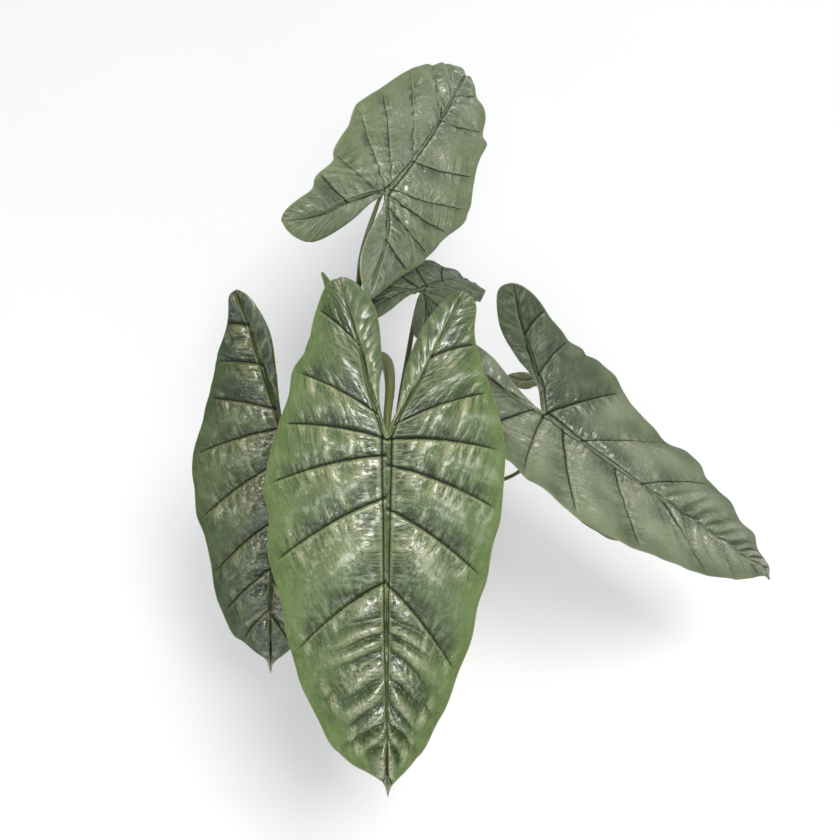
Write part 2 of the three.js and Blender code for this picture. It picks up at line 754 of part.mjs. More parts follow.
function mixGeometry() {
  const floor = POT.recessDepth + POT.floor + GAP;
  const hole = CROWN.radius + GAP + 0.2;
  const profile = [
    [0, floor],
    [fillRadius(floor), floor],
    [fillRadius(POT.height), POT.height - POT.bandHeight - 2],
    [fillRadius(POT.height) - 0.5, MIX.top - 1],
    [47, MIX.top],
    [38, MIX.top + 0.6],
    [29, MIX.top + 1],
    [hole, MIX.top],
    [hole, CROWN.bottom - GAP],
    [0, CROWN.bottom - GAP],
  ];
  const geometry = turned(profile, MIX.segments);
  const position = geometry.attributes.position;
  for (let i = 0; i < position.count; i += 1) {
    const x = position.getX(i);
    const y = position.getY(i);
    if (position.getZ(i) > MIX.top - 0.5 && Math.hypot(x, y) > hole + 1) {
      const lump = Math.sin(x * 0.41 + 1.3) * Math.cos(y * 0.37) + 0.6 * Math.sin(x * 0.19 - y * 0.53);
      position.setZ(i, position.getZ(i) + MIX.lump * lump);
    }
  }
  return geometry;
}

// Short stem with a socket for each stalk.
function crownGeometry(stalks) {
  const profile = [
    [0, CROWN.bottom],
    [CROWN.radius - 4, CROWN.bottom],
    [CROWN.radius, CROWN.bottom + 6],
    [CROWN.radius, MIX.top],
    [CROWN.neckRadius + 1, MIX.top + 6],
    [CROWN.neckRadius, CROWN.top - 3],
    [CROWN.neckRadius - 3, CROWN.top],
    [0, CROWN.top - 2],
  ];
  let crown = toSolid(turned(profile, CROWN.sides));
  for (const stalk of stalks) crown = crown.subtract(toSolid(stalk));
  return toGeometry(crown);
}

function addMesh(group, name, geometry, color, roughness, metalness = 0) {
  const material = new THREE.MeshStandardMaterial({ color, roughness, metalness });
  const mesh = new THREE.Mesh(geometry, material);
  mesh.name = name;
  group.add(mesh);
}

function buildPlant() {
  const plant = new THREE.Group();
  const sockets = [spearGeometry(GAP)];
  const foliage = new THREE.Group();
  for (const leaf of LEAVES) {
    const surface = new BladeSurface(leaf);
    const sheet = bladeSheet(surface);
    addMesh(foliage, `${leaf.name}_blade`, thickenSheet(sheet), leaf.color, 0.45);
    const clear = toSolid(thickenSheet(sheet, GAP));
    const stalk = toSolid(stalkGeometry(surface)).subtract(clear);
    addMesh(foliage, `${leaf.name}_stalk`, toGeometry(stalk), COLORS.stalk, 0.5);
    sockets.push(stalkGeometry(surface, GAP));
  }
  addMesh(plant, 'pot', potGeometry(), COLORS.pot, 0.55);
  addMesh(plant, 'potting_mix', mixGeometry(), COLORS.mix, 0.95);
  addMesh(plant, 'crown', crownGeometry(sockets), COLORS.crown, 0.8);
  addMesh(plant, 'new_leaf_spear', spearGeometry(), COLORS.spear, 0.4);
  plant.add(foliage);
  return plant;
}

export default buildPlant();
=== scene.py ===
"""Looks of a potted alocasia heterophylla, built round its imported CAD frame.

Six quilted, arrow-shaped leaves on arching stalks and one rolled new leaf rise
from a short crown in a plain nursery pot. Shapes are worked out in millimetres
and degrees in the CAD part's own frame, and the meshes are written in metres.

Leaf coordinates: "along" is the distance from the stalk joint, positive to the
tip and negative to the basal lobes. "Across" is the distance from the midrib,
positive on the left as seen from above, looking from the stalk to the tip.
"""
from __future__ import annotations

import logging
import math
from dataclasses import dataclass, field
from enum import Enum
from functools import reduce

import bmesh
import bpy
import numpy as np
from mathutils import Matrix, Vector


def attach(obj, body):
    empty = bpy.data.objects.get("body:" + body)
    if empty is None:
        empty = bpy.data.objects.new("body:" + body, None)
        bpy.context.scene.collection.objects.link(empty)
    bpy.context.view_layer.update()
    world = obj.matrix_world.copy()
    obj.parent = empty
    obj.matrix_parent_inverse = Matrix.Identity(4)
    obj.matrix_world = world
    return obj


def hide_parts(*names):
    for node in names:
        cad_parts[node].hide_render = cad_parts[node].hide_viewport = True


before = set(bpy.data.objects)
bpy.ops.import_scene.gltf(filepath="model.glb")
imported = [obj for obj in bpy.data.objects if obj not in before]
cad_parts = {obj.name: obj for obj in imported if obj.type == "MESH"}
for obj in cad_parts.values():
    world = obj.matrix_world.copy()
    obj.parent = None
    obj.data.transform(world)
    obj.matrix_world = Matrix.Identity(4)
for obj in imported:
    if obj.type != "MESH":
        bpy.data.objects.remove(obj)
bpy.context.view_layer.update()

LOG = logging.getLogger("potted_alocasia")
MM = 0.001
BODY = "root"

Table = tuple[tuple[float, float], ...]
Place = tuple[float, float, float]
Color = tuple[float, float, float, float]


def from_srgb(red: int, green: int, blue: int) -> Color:
    """Turn a screen colour into the linear one that shaders take.

    Args:
        red: Red, 0 to 255.
        green: Green, 0 to 255.
        blue: Blue, 0 to 255.

    Returns:
        Linear red, green and blue with full alpha.
    """
    def linear(channel: int) -> float:
        """Return one channel in linear light."""
        value = channel / 255
        return value / 12.92 if value <= 0.04045 else ((value + 0.055) / 1.055) ** 2.4

    return (linear(red), linear(green), linear(blue), 1.0)


def curve_span(a: np.ndarray, b: np.ndarray, leave: np.ndarray, arrive: np.ndarray, steps: int) -> np.ndarray:
    """Sample the smooth curve from one point up to, but without, the next.

    Args:
        a: Point that it leaves.
        b: Point at which it arrives.
        leave: Speed at a.
        arrive: Speed at b.
        steps: Number of samples.

    Returns:
        The samples, one row each.
    """
    t = (np.arange(steps) / steps)[:, None]
    return (
        a + leave * t
        + (3 * (b - a) - 2 * leave - arrive) * t ** 2
        + (2 * (a - b) + leave + arrive) * t ** 3)


def smooth_line(points: Table, before: tuple[float, float] | None = None, per_span: int = 8) -> np.ndarray:
    """Sample the smooth curve through flat points.

    Args:
        points: Points in leaf coordinates.
        before: Point from which the curve comes to its first one, if it does not start there.
        per_span: Samples between two points.

    Returns:
        Array of close-set samples, ends included.
    """
    p = np.array(points, float)
    p = np.vstack([2 * p[0] - p[1] if before is None else before, p, 2 * p[-1] - p[-2]])
    samples = [
        curve_span(p[i], p[i + 1], (p[i + 1] - p[i - 1]) / 2, (p[i + 2] - p[i]) / 2, per_span)
        for i in range(1, len(p) - 2)]
    return np.vstack([*samples, p[-2]])


def line_at(line: np.ndarray, share: np.ndarray) -> np.ndarray:
    """Return the points at shares (0 to 1) of a sampled line, counted in samples."""
    at = np.clip(share, 0, 1) * (len(line) - 1)
    return np.stack([np.interp(at, np.arange(len(line)), line[:, k]) for k in range(2)], -1)


def steps_of(line: np.ndarray) -> np.ndarray:
    """Return the distances from each point of a line to the next."""
    return np.linalg.norm(np.diff(line, axis=0), axis=1)


def run_of(line: np.ndarray) -> np.ndarray:
    """Return the distance along a line at each of its points, from 0."""
    return np.concatenate([[0], np.cumsum(steps_of(line))])


def spaced(line: np.ndarray, count: int) -> np.ndarray:
    """Return that many points at even distances along a line.

    Args:
        line: The line, one row a point.
        count: Number of points wanted.

    Returns:
        Array of the points.
    """
    run = run_of(line)
    at = np.linspace(0, run[-1], count)
    return np.stack([np.interp(at, run, values) for values in line.T], -1)


def rod_line(points: np.ndarray, stations: int) -> np.ndarray:
    """Run a centripetal curve through points in space at even distances.

    Args:
        points: Route, one row a point.
        stations: Number of places wanted.

    Returns:
        Array of that many places.
    """
    p = np.vstack([2 * points[0] - points[1], points, 2 * points[-1] - points[-2]])
    fine = []
    for i in range(1, len(p) - 2):
        a, b, c = (np.linalg.norm(p[j + 1] - p[j]) ** 0.5 for j in (i - 1, i, i + 1))
        leave = ((p[i] - p[i - 1]) / a - (p[i + 1] - p[i - 1]) / (a + b) + (p[i + 1] - p[i]) / b) * b
        arrive = ((p[i + 1] - p[i]) / b - (p[i + 2] - p[i]) / (b + c) + (p[i + 2] - p[i + 1]) / c) * b
        fine.append(curve_span(p[i], p[i + 1], leave, arrive, 40))
    return spaced(np.vstack([*fine, p[-2]]), stations)


def angles_round(sides: int) -> np.ndarray:
    """Return that many even angles round a circle."""
    return np.arange(sides) * 2 * math.pi / sides


def bell(x: np.ndarray, middle: float, width: np.ndarray | float, power: int = 2) -> np.ndarray:
    """Return a smooth hump: 1 at its middle, 1/e one width away."""
    return np.exp(-(((x - middle) / width) ** power))


# Pale colour of the painted glints on the blades
GLINT_COLOR = from_srgb(211, 209, 190)


class Waves:
    """Seeded field of crossing waves, for unevenness that looks grown."""

    def __init__(self, seed: int, shortest: float, longest: float, count: int = 14) -> None:
        """Draw the waves.

        Args:
            seed: Seed of the draw.
            shortest: Shortest wavelength, in mm.
            longest: Longest wavelength, in mm.
            count: Number of waves.
        """
        draw = np.random.default_rng(seed)
        turn = draw.uniform(0, 2 * math.pi, count)
        number = 2 * math.pi / draw.uniform(shortest, longest, count)
        self.kx, self.ky = number * np.cos(turn), number * np.sin(turn)
        self.phase = draw.uniform(0, 2 * math.pi, count)
        self.scale = math.sqrt(2 / count)

    def at(self, x: np.ndarray, y: np.ndarray) -> np.ndarray:
        """Return the field, about -2 to 2, at places x, y.

        Args:
            x: Places in one direction, in mm.
            y: Places in the other.

        Returns:
            Heights in the places' shape.
        """
        total = np.zeros(np.broadcast(x, y).shape)
        for kx, ky, phase in zip(self.kx, self.ky, self.phase):
            total += np.cos(kx * x + ky * y + phase)
        return total * self.scale


def grid_faces(index: np.ndarray) -> np.ndarray:
    """Cut a grid of vertex numbers into triangles, leaving out collapsed ones.

    Args:
        index: Vertex numbers, rows by columns.

    Returns:
        Triangles, wound from rows to columns.
    """
    a, b, c, d = index[:-1, :-1], index[1:, :-1], index[1:, 1:], index[:-1, 1:]
    faces = np.concatenate([
        np.stack([a, b, c], -1).reshape(-1, 3), np.stack([a, c, d], -1).reshape(-1, 3)])
    keep = (faces[:, 0] != faces[:, 1]) & (faces[:, 1] != faces[:, 2]) & (faces[:, 2] != faces[:, 0])
    return faces[keep]


def face_normals(places: np.ndarray, faces: np.ndarray) -> np.ndarray:
    """Return smooth unit normals at the vertices of a mesh.

    Args:
        places: Vertices.
        faces: Triangles.

    Returns:
        One normal a vertex.
    """
    cross = np.cross(places[faces[:, 1]] - places[faces[:, 0]], places[faces[:, 2]] - places[faces[:, 0]])
    normals = np.zeros_like(places)
    for k in range(3):
        for axis in range(3):
            normals[:, axis] += np.bincount(faces[:, k], cross[:, axis], len(places))
    return normals / np.maximum(np.linalg.norm(normals, axis=1, keepdims=True), 1e-12)


def border_edges(faces: np.ndarray, count: int) -> np.ndarray:
    """Return the directed edges that only one face has.

    Args:
        faces: Triangles.
        count: Number of vertices.

    Returns:
        Array of vertex pairs.
    """
    edges = np.concatenate([faces[:, [0, 1]], faces[:, [1, 2]], faces[:, [2, 0]]]).astype(np.int64)
    there = edges[:, 0] * count + edges[:, 1]
    back = edges[:, 1] * count + edges[:, 0]
    return edges[~np.isin(back, there)]


@dataclass
class Skin:
    """A mesh in the making: places in mm, triangles and values at its vertices."""

    places: np.ndarray
    faces: np.ndarray
    values: dict[str, np.ndarray] = field(default_factory=dict)

    def join(self, other: Skin) -> Skin:
        """Return one skin that holds this one and another with the same values.

        Args:
            other: The skin to add.

        Returns:
            Both as one.
        """
        return Skin(
            np.vstack([self.places, other.places]),
            np.vstack([self.faces, other.faces + len(self.places)]),
            {key: np.concatenate([value, other.values[key]]) for key, value in self.values.items()})

    def to_object(self, name: str, material: bpy.types.Material, sharp_from: float = 180) -> bpy.types.Object:
        """Make the Blender object.

        Args:
            name: Plain name of the piece.
            material: Its finish.
            sharp_from: Edges bent by more than this many degrees stay crisp.

        Returns:
            The new object, linked to the scene.
        """
        mesh = bpy.data.meshes.new(name)
        mesh.vertices.add(len(self.places))
        mesh.vertices.foreach_set("co", (self.places * MM).astype(np.float32).ravel())
        mesh.loops.add(self.faces.size)
        mesh.loops.foreach_set("vertex_index", self.faces.astype(np.int32).ravel())
        mesh.polygons.add(len(self.faces))
        mesh.polygons.foreach_set("loop_start", np.arange(0, self.faces.size, 3, dtype=np.int32))
        mesh.update(calc_edges=True)
        mesh.shade_smooth()
        if sharp_from < 180:
            mesh.set_sharp_from_angle(angle=math.radians(sharp_from))
        for key, value in self.values.items():
            kind = "FLOAT_VECTOR" if value.ndim == 2 else "FLOAT"
            made = mesh.attributes.new(key, kind, "POINT")
            made.data.foreach_set("vector" if value.ndim == 2 else "value", value.astype(np.float32).ravel())
        mesh.materials.append(material)
        piece = bpy.data.objects.new(name, mesh)
        bpy.context.scene.collection.objects.link(piece)
        return piece


def place_piece(piece: bpy.types.Object, node: str) -> None:
    """Let a piece stand for a CAD node and ride with the plant.

    Args:
        piece: The new piece.
        node: CAD node that it stands for.
    """
    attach(piece, BODY)
    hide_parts(node)
    LOG.info("%s: %d faces, stands for %s", piece.name, len(piece.data.polygons), node)


def turned_skin(profile: np.ndarray, segments: int) -> Skin:
    """Turn a profile that starts and ends on the axis about Z.

    Args:
        profile: Rows of radius and height, outer side first.
        segments: Sides of the round.

    Returns:
        The closed skin.
    """
    angle = angles_round(segments)
    ring = profile[1:-1]
    places = np.stack([
        ring[:, :1] * np.cos(angle), ring[:, :1] * np.sin(angle),
        np.repeat(ring[:, 1:], segments, axis=1)], -1).reshape(-1, 3)
    places = np.vstack([places, [0, 0, profile[0, 1]], [0, 0, profile[-1, 1]]])
    index = np.arange(len(ring) * segments).reshape(len(ring), segments)
    index = np.vstack([np.full(segments, len(places) - 2), index, np.full(segments, len(places) - 1)])
    index = np.hstack([index, index[:, :1]])
    return Skin(places, grid_faces(index)[:, ::-1])


def rounded(profile: Table, radius: float, steps: int = 3) -> np.ndarray:
    """Round the corners of a profile, keeping its two ends.

    Args:
        profile: Corners as radius and height.
        radius: How far from a corner the rounding starts.
        steps: Points on each rounding beyond its first.

    Returns:
        The rounded profile.
    """
    p = np.array(profile, float)
    line = [p[0]]
    for before, corner, after in zip(p, p[1:], p[2:]):
        back, ahead = before - corner, after - corner
        start = corner + back * min(radius / np.linalg.norm(back), 0.45)
        end = corner + ahead * min(radius / np.linalg.norm(ahead), 0.45)
        for t in np.linspace(0, 1, steps + 1):
            line.append(start * (1 - t) ** 2 + corner * 2 * t * (1 - t) + end * t * t)
    return np.array([*line, p[-1]])


Value = "bpy.types.NodeSocket | float | Color"


class Shop:
    """Short ways to place and join the nodes of one node tree."""

    def __init__(self, tree: bpy.types.NodeTree) -> None:
        """Work on a tree."""
        self.tree = tree

    def put(self, socket: bpy.types.NodeSocket, value: Value) -> None:
        """Link a socket to another, or set it to a number or colour.

        Args:
            socket: Input socket.
            value: Output socket, number or colour.
        """
        if isinstance(value, bpy.types.NodeSocket):
            self.tree.links.new(value, socket)
        else:
            socket.default_value = value

    def node(self, kind: str, settings: dict | None = None, **inputs: Value) -> bpy.types.Node:
        """Add a node.

        Args:
            kind: Node type without its ShaderNode prefix.
            settings: Its own settings by name.
            **inputs: Its sockets by name, with _ for a space.

        Returns:
            The node.
        """
        made = self.tree.nodes.new("ShaderNode" + kind)
        for key, value in (settings or {}).items():
            setattr(made, key, value)
        for key, value in inputs.items():
            self.put(made.inputs[key.replace("_", " ")], value)
        return made

    def math(self, operation: str, a: Value, b: Value = 0.0) -> bpy.types.NodeSocket:
        """Return the result of a Math node.

        Args:
            operation: Its operation.
            a: First value.
            b: Second value, if it takes one.

        Returns:
            Socket with the result.
        """
        made = self.tree.nodes.new("ShaderNodeMath")
        made.operation = operation
        for socket, value in zip(made.inputs, (a, b)):
            self.put(socket, value)
        return made.outputs[0]

    def times(self, product: Value, *factors: Value) -> Value:
        """Return the product of values.

        Args:
            product: First value.
            *factors: The others.

        Returns:
            Socket with the result.
        """
        for factor in factors:
            product = self.math("MULTIPLY", product, factor)
        return product

    def plus(self, total: Value, *terms: Value) -> Value:
        """Return the sum of values.

        Args:
            total: First value.
            *terms: The others.

        Returns:
            Socket with the result.
        """
        for term in terms:
            total = self.math("ADD", total, term)
        return total

    def mix(self, share: Value, a: Value, b: Value) -> bpy.types.NodeSocket:
        """Return colour a with a share of colour b laid over it.

        Args:
            share: How much of b shows, 0 to 1.
            a: Lower colour.
            b: Upper colour.

        Returns:
            Socket with the result.
        """
        made = self.tree.nodes.new("ShaderNodeMix")
        made.data_type = "RGBA"
        for slot, value in ((0, share), (6, a), (7, b)):
            self.put(made.inputs[slot], value)
        return made.outputs[2]

    def ease(self, value: Value, low: float, high: float, to_low: float = 0.0,
             to_high: float = 1.0) -> bpy.types.NodeSocket:
        """Return a value eased from one range to another.

        Args:
            value: The value.
            low: Where the ease starts.
            high: Where it ends.
            to_low: Result up to low.
            to_high: Result from high on.

        Returns:
            Socket with the result.
        """
        made = self.node("MapRange", {"interpolation_type": "SMOOTHSTEP"})
        for slot, number in enumerate((value, low, high, to_low, to_high)):
            self.put(made.inputs[slot], number)
        return made.outputs[0]

    def attribute(self, name: str, vector: bool = False) -> bpy.types.NodeSocket:
        """Return a value that the mesh carries at its vertices."""
        made = self.node("Attribute", {"attribute_name": name})
        return made.outputs["Vector" if vector else "Fac"]

    def noise(self, vector: Value, scale: float, detail: float = 3,
              rough: float = 0.55) -> bpy.types.NodeSocket:
        """Return a noise value about 0.5."""
        return self.node("TexNoise", Vector=vector, Scale=scale, Detail=detail, Roughness=rough).outputs[0]

    def scaled(self, vector: Value, by: Place) -> bpy.types.NodeSocket:
        """Return a vector stretched along its axes.

        Args:
            vector: The vector.
            by: Its stretch along X, Y and Z.

        Returns:
            Socket with the result.
        """
        made = self.node("VectorMath", {"operation": "MULTIPLY"})
        self.put(made.inputs[0], vector)
        self.put(made.inputs[1], by)
        return made.outputs[0]


class Socket(Enum):
    """Kinds of node group socket."""

    COLOR = "NodeSocketColor"
    VALUE = "NodeSocketFloat"


def start_group(name: str, colors: tuple[str, ...], values: tuple[str, ...],
                results: tuple[str, ...]) -> tuple[Shop, dict, dict]:
    """Open a new shader node group that gives a colour and some values.

    Args:
        name: Its name.
        colors: Names of the colours that it takes.
        values: Names of the values that it takes.
        results: Names of the values that it gives besides its Color.

    Returns:
        A shop for its tree, its input sockets and the sockets to feed.
    """
    tree = bpy.data.node_groups.new(name, "ShaderNodeTree")
    inputs = dict.fromkeys(colors, Socket.COLOR) | dict.fromkeys(values, Socket.VALUE)
    outputs = {"Color": Socket.COLOR} | dict.fromkeys(results, Socket.VALUE)
    for in_out, sockets in (("INPUT", inputs), ("OUTPUT", outputs)):
        for key, kind in sockets.items():
            tree.interface.new_socket(name=key, in_out=in_out, socket_type=kind.value)
    enter = tree.nodes.new("NodeGroupInput")
    leave = tree.nodes.new("NodeGroupOutput")
    given = {key: enter.outputs[key] for key in inputs}
    wanted = {key: leave.inputs[key] for key in outputs}
    return Shop(tree), given, wanted


def blade_group() -> bpy.types.NodeTree:
    """Make the group that colours a blade from the values on its mesh, painted light and shade included.

    Returns:
        Group with the leaf's colour, roughness and gloss and the height of its finest relief.
    """
    shop, given, wanted = start_group(
        "blade tissue",
        ("Ground", "Margin", "Vein", "Halo", "Underside", "Sheen Tint"),
        ("Margin Reach", "Mottle", "Crease", "Glint", "Roughness"),
        ("Roughness", "Gloss", "Height"))
    vein, rim, out, upper, painted_lighting, pucker, bloom, gloss, spine, edge = (
        shop.attribute(key) for key in
        ("vein", "rim", "out", "upper", "painted_lighting", "pucker", "bloom", "gloss", "spine", "edge"))
    barbs, rungs, flat = (shop.attribute(key, True) for key in ("barbs", "rungs", "flat"))
    # dark also colours the painted shade, halo the painted highlights as well as a paler tone
    dark, halo, painted_shading_share = given["Vein"], given["Halo"], given["Crease"]

    cloud = shop.noise(flat, 0.022, 4, 0.6)
    fine_cloud = shop.noise(flat, 0.14, 5, 0.6)
    strands = shop.mix(
        spine,
        shop.noise(shop.scaled(barbs, (1.0, 0.16, 1.0)), 0.3, 2.5, 0.55),
        shop.noise(shop.scaled(rungs, (1.0, 0.14, 1.0)), 0.32, 2.5, 0.55))
    folded = shop.math("ABSOLUTE", shop.math("SUBTRACT", strands, 0.5))
    pucker = shop.math("MAXIMUM", pucker, spine)
    near_margin = shop.ease(shop.plus(out, shop.times(cloud, 0.3)), 0.78, 1.2)
    # Painted glints: pale specks on the lit ridges of the relief
    spark = shop.ease(shop.noise(shop.scaled(barbs, (1.0, 0.45, 1.0)), 0.5, 4, 0.7), 0.5, 0.64)
    patch = shop.ease(shop.noise(flat, 0.04, 2, 0.5), 0.48, 0.6)
    # Pale strokes between the fine puckers: painted highlight
    stroke = shop.ease(strands, 0.52, 0.75, 0, 0.45)
    layers = (
        # Painted sheen, a paler tint standing in for light on the leaf, then the margin's band, then clouds
        # of a lighter and a darker green
        (shop.ease(shop.plus(bloom, shop.times(cloud, given["Mottle"])), 0.3, 1.2), given["Sheen Tint"]),
        (shop.times(near_margin, given["Margin Reach"]), given["Margin"]),
        (shop.ease(fine_cloud, 0.42, 0.8, 0, 0.12), halo),
        (shop.ease(fine_cloud, 0.5, 0.2, 0, 0.2), dark),
        # Painted shade in the hollows and painted highlight on the ridges of the folds, then painted shade in
        # the fine furrows and painted highlight strokes between the fine puckers
        (shop.times(shop.ease(painted_lighting, 0.5, 0.1, 0, 0.75), painted_shading_share), dark),
        (shop.times(shop.ease(painted_lighting, 0.48, 0.95, 0, 0.75), painted_shading_share), halo),
        (shop.times(shop.ease(folded, 0.035, 0.0), pucker, painted_shading_share), dark),
        (shop.times(stroke, shop.math("MAXIMUM", pucker, 0.4), painted_shading_share), halo),
        # Painted glints on the lit ridges, painted highlights along the edges of ribs and veins, painted
        # shade as their dark lines, and the leaf's paler rim
        (shop.times(spark, patch, shop.ease(painted_lighting, 0.42, 0.7), given["Glint"]), GLINT_COLOR),
        (shop.times(edge, 0.75, painted_shading_share), halo),
        (shop.ease(vein, 0.4, 0.8, 0, 0.94), dark),
        (shop.ease(rim, 0.35, 0.95, 0, 0.5), halo))
    ground = given["Ground"]
    for share, color in layers:
        ground = shop.mix(share, ground, color)
    under = shop.mix(shop.ease(vein, 0.25, 0.8, 0, 0.5), given["Underside"], halo)
    under = shop.mix(shop.ease(fine_cloud, 0.4, 0.75, 0, 0.4), under, given["Ground"])
    shop.put(wanted["Color"], shop.mix(upper, under, ground))

    gloss = shop.times(
        gloss, upper, shop.ease(vein, 0.5, 0.1, 0.08, 1.0), shop.ease(folded, 0.0, 0.05, 0.3, 1.15))
    shop.put(wanted["Gloss"], gloss)
    shop.put(wanted["Roughness"], shop.plus(
        given["Roughness"], shop.ease(fine_cloud, 0.3, 0.7, -0.04, 0.06), shop.ease(gloss, 0.7, 0.0, 0, 0.2),
        shop.times(shop.math("SUBTRACT", 1.0, upper), 0.16), shop.times(vein, 0.3)))
    grain = shop.noise(flat, 0.9, 4, 0.62)
    shop.put(wanted["Height"], shop.plus(shop.times(folded, 6.0, pucker), shop.times(grain, 0.6)))
    return shop.tree


def streak_group() -> bpy.types.NodeTree:
    """Make the group that streaks a stalk or rolled leaf along its length.

    Returns:
        Group with the streaked colour and the height of its ribs.
    """
    shop, given, wanted = start_group(
        "long streaks", ("Base", "Streak", "Upper End", "Fleck"), (), ("Height",))
    around, share = shop.attribute("around", True), shop.attribute("share")
    lines = shop.noise(shop.scaled(around, (1.0, 1.0, 0.022)), 0.9, 4, 0.6)
    patches = shop.noise(shop.scaled(around, (1.0, 1.0, 0.5)), 0.16, 3)
    color = shop.mix(shop.ease(lines, 0.42, 0.66, 0, 0.75), given["Base"], given["Streak"])
    color = shop.mix(shop.ease(share, 0.55, 1.0, 0, 0.75), color, given["Upper End"])
    color = shop.mix(shop.ease(patches, 0.56, 0.74, 0, 0.5), color, given["Fleck"])
    shop.put(wanted["Color"], color)
    shop.put(wanted["Height"], lines)
    return shop.tree


def crumb_group() -> bpy.types.NodeTree:
    """Make the group that breaks up a dry, crumbly surface.

    Returns:
        Group with a varied colour and the height of its crumbs.
    """
    shop, given, wanted = start_group(
        "crumbs", ("Dark", "Middle", "Light"), ("Scale",), ("Height",))
    where = shop.node("TexCoord").outputs["Object"]
    grown = shop.node("VectorMath", {"operation": "SCALE"})
    shop.put(grown.inputs[0], where)
    shop.put(grown.inputs["Scale"], given["Scale"])
    vector = grown.outputs[0]
    coarse = shop.noise(vector, 1.0, 5, 0.65)
    specks = shop.noise(vector, 7.0, 4, 0.7)
    color = shop.mix(shop.ease(coarse, 0.38, 0.62), given["Dark"], given["Middle"])
    color = shop.mix(shop.ease(specks, 0.52, 0.72, 0, 0.7), color, given["Light"])
    color = shop.mix(shop.ease(specks, 0.46, 0.3, 0, 0.6), color, given["Dark"])
    shop.put(wanted["Color"], color)
    shop.put(wanted["Height"], shop.plus(coarse, shop.times(specks, 0.6)))
    return shop.tree


def open_material(name: str) -> tuple[Shop, bpy.types.Material, bpy.types.Node]:
    """Start a material.

    Args:
        name: Its name.

    Returns:
        A shop for its tree, the material and its Principled shader.
    """
    material = bpy.data.materials.new(name)
    material.use_nodes = True
    shader = material.node_tree.nodes["Principled BSDF"]
    return Shop(material.node_tree), material, shader


def add_bump(shop: Shop, shader: bpy.types.Node, height: Value, depth: float, strength: float = 1.0) -> None:
    """Feed a height, 0 to 1, to a shader's normal.

    Args:
        shop: Shop of the material.
        shader: Its shader.
        height: Socket with the height.
        depth: Depth of the relief in mm.
        strength: Share of the relief that shows.
    """
    bump = shop.node("Bump", Strength=strength, Distance=depth * MM, Height=height)
    shop.put(shader.inputs["Normal"], bump.outputs[0])


@dataclass(frozen=True)
class GroupFinish:
    """Finish whose fields feed the inputs of the same names on a node group."""

    name: str

    def start(self, group: bpy.types.NodeTree) -> tuple[
            Shop, bpy.types.Material, bpy.types.Node, bpy.types.Node]:
        """Start the material with the group's colour on its shader.

        Args:
            group: The node group.

        Returns:
            A shop for the material's tree, the material, its shader and the placed group.
        """
        shop, material, shader = open_material(self.name)
        made = shop.tree.nodes.new("ShaderNodeGroup")
        made.node_tree = group
        for socket in made.inputs:
            shop.put(socket, getattr(self, socket.name.lower().replace(" ", "_")))
        shop.put(shader.inputs["Base Color"], made.outputs["Color"])
        return shop, material, shader, made


@dataclass(frozen=True)
class BladeFinish(GroupFinish):
    """Colours and gloss of one leaf's blade."""

    slot: str
    ground: Color
    margin: Color
    # vein is also the colour of painted shade; halo that of painted highlights and a paler tone; sheen_tint
    # that of the painted sheen
    vein: Color
    halo: Color
    underside: Color
    sheen_tint: Color
    margin_reach: float = 0.8
    mottle: float = 0.5
    # Strength of the painted shade and painted highlights on the blade
    crease: float = 0.5
    glint: float = 0.2
    roughness: float = 0.4
    coat: float = 0.3
    coat_roughness: float = 0.24
    coat_ior: float = 1.85
    relief: float = 0.8

    def material(self, group: bpy.types.NodeTree) -> bpy.types.Material:
        """Make the material.

        Args:
            group: The blade tissue group.

        Returns:
            The material.
        """
        shop, material, shader, tissue = self.start(group)
        shop.put(shader.inputs["Roughness"], tissue.outputs["Roughness"])
        shop.put(shader.inputs["Coat Weight"], shop.times(tissue.outputs["Gloss"], self.coat))
        shader.inputs["Coat Roughness"].default_value = self.coat_roughness
        shader.inputs["Coat IOR"].default_value = self.coat_ior
        add_bump(shop, shader, tissue.outputs["Height"], self.relief)
        return material


@dataclass(frozen=True)
class MattFinish(GroupFinish):
    """Finish with one roughness and one depth of relief in mm."""

    roughness: float = field(default=0.9, kw_only=True)
    depth: float = field(default=0.35, kw_only=True)

    def material(self, group: bpy.types.NodeTree) -> bpy.types.Material:
        """Make the material.

        Args:
            group: Its node group.

        Returns:
            The material.
        """
        shop, material, shader, made = self.start(group)
        shader.inputs["Roughness"].default_value = self.roughness
        add_bump(shop, shader, made.outputs["Height"], self.depth)
        return material


@dataclass(frozen=True)
class StreakFinish(MattFinish):
    """Colours of a stalk or of the rolled new leaf, for the long streaks group."""

    base: Color
    streak: Color
    upper_end: Color
    fleck: Color


@dataclass(frozen=True)
class CrumbFinish(MattFinish):
    """Colours of a dry, crumbly or fibrous piece, for the crumbs group."""

    dark: Color
    middle: Color
    light: Color
    scale: float


@dataclass(frozen=True)
class MouldedPlastic:
    """Dark moulded plastic of the nursery pot, a little dusty and rubbed."""

    name: str = "pot plastic"
    color: Color = from_srgb(43, 44, 46)
    dust: Color = from_srgb(98, 92, 84)

    def material(self) -> bpy.types.Material:
        """Make the material.

        Returns:
            The material.
        """
        shop, material, shader = open_material(self.name)
        where = shop.node("TexCoord").outputs["Object"]
        cloud = shop.noise(shop.scaled(where, (1, 1, 0.45)), 26, 5, 0.6)
        height = shop.node("SeparateXYZ", Vector=where).outputs["Z"]
        low = shop.ease(height, 0.045, 0.0, 0, 0.5)
        dusty = shop.times(shop.ease(cloud, 0.45, 0.75), shop.plus(low, 0.16))
        shop.put(shader.inputs["Base Color"], shop.mix(dusty, self.color, self.dust))
        shop.put(shader.inputs["Roughness"], shop.ease(cloud, 0.3, 0.7, 0.38, 0.6))
        grain = shop.noise(where, 1900, 2, 0.5)
        add_bump(shop, shader, grain, 0.05)
        return material


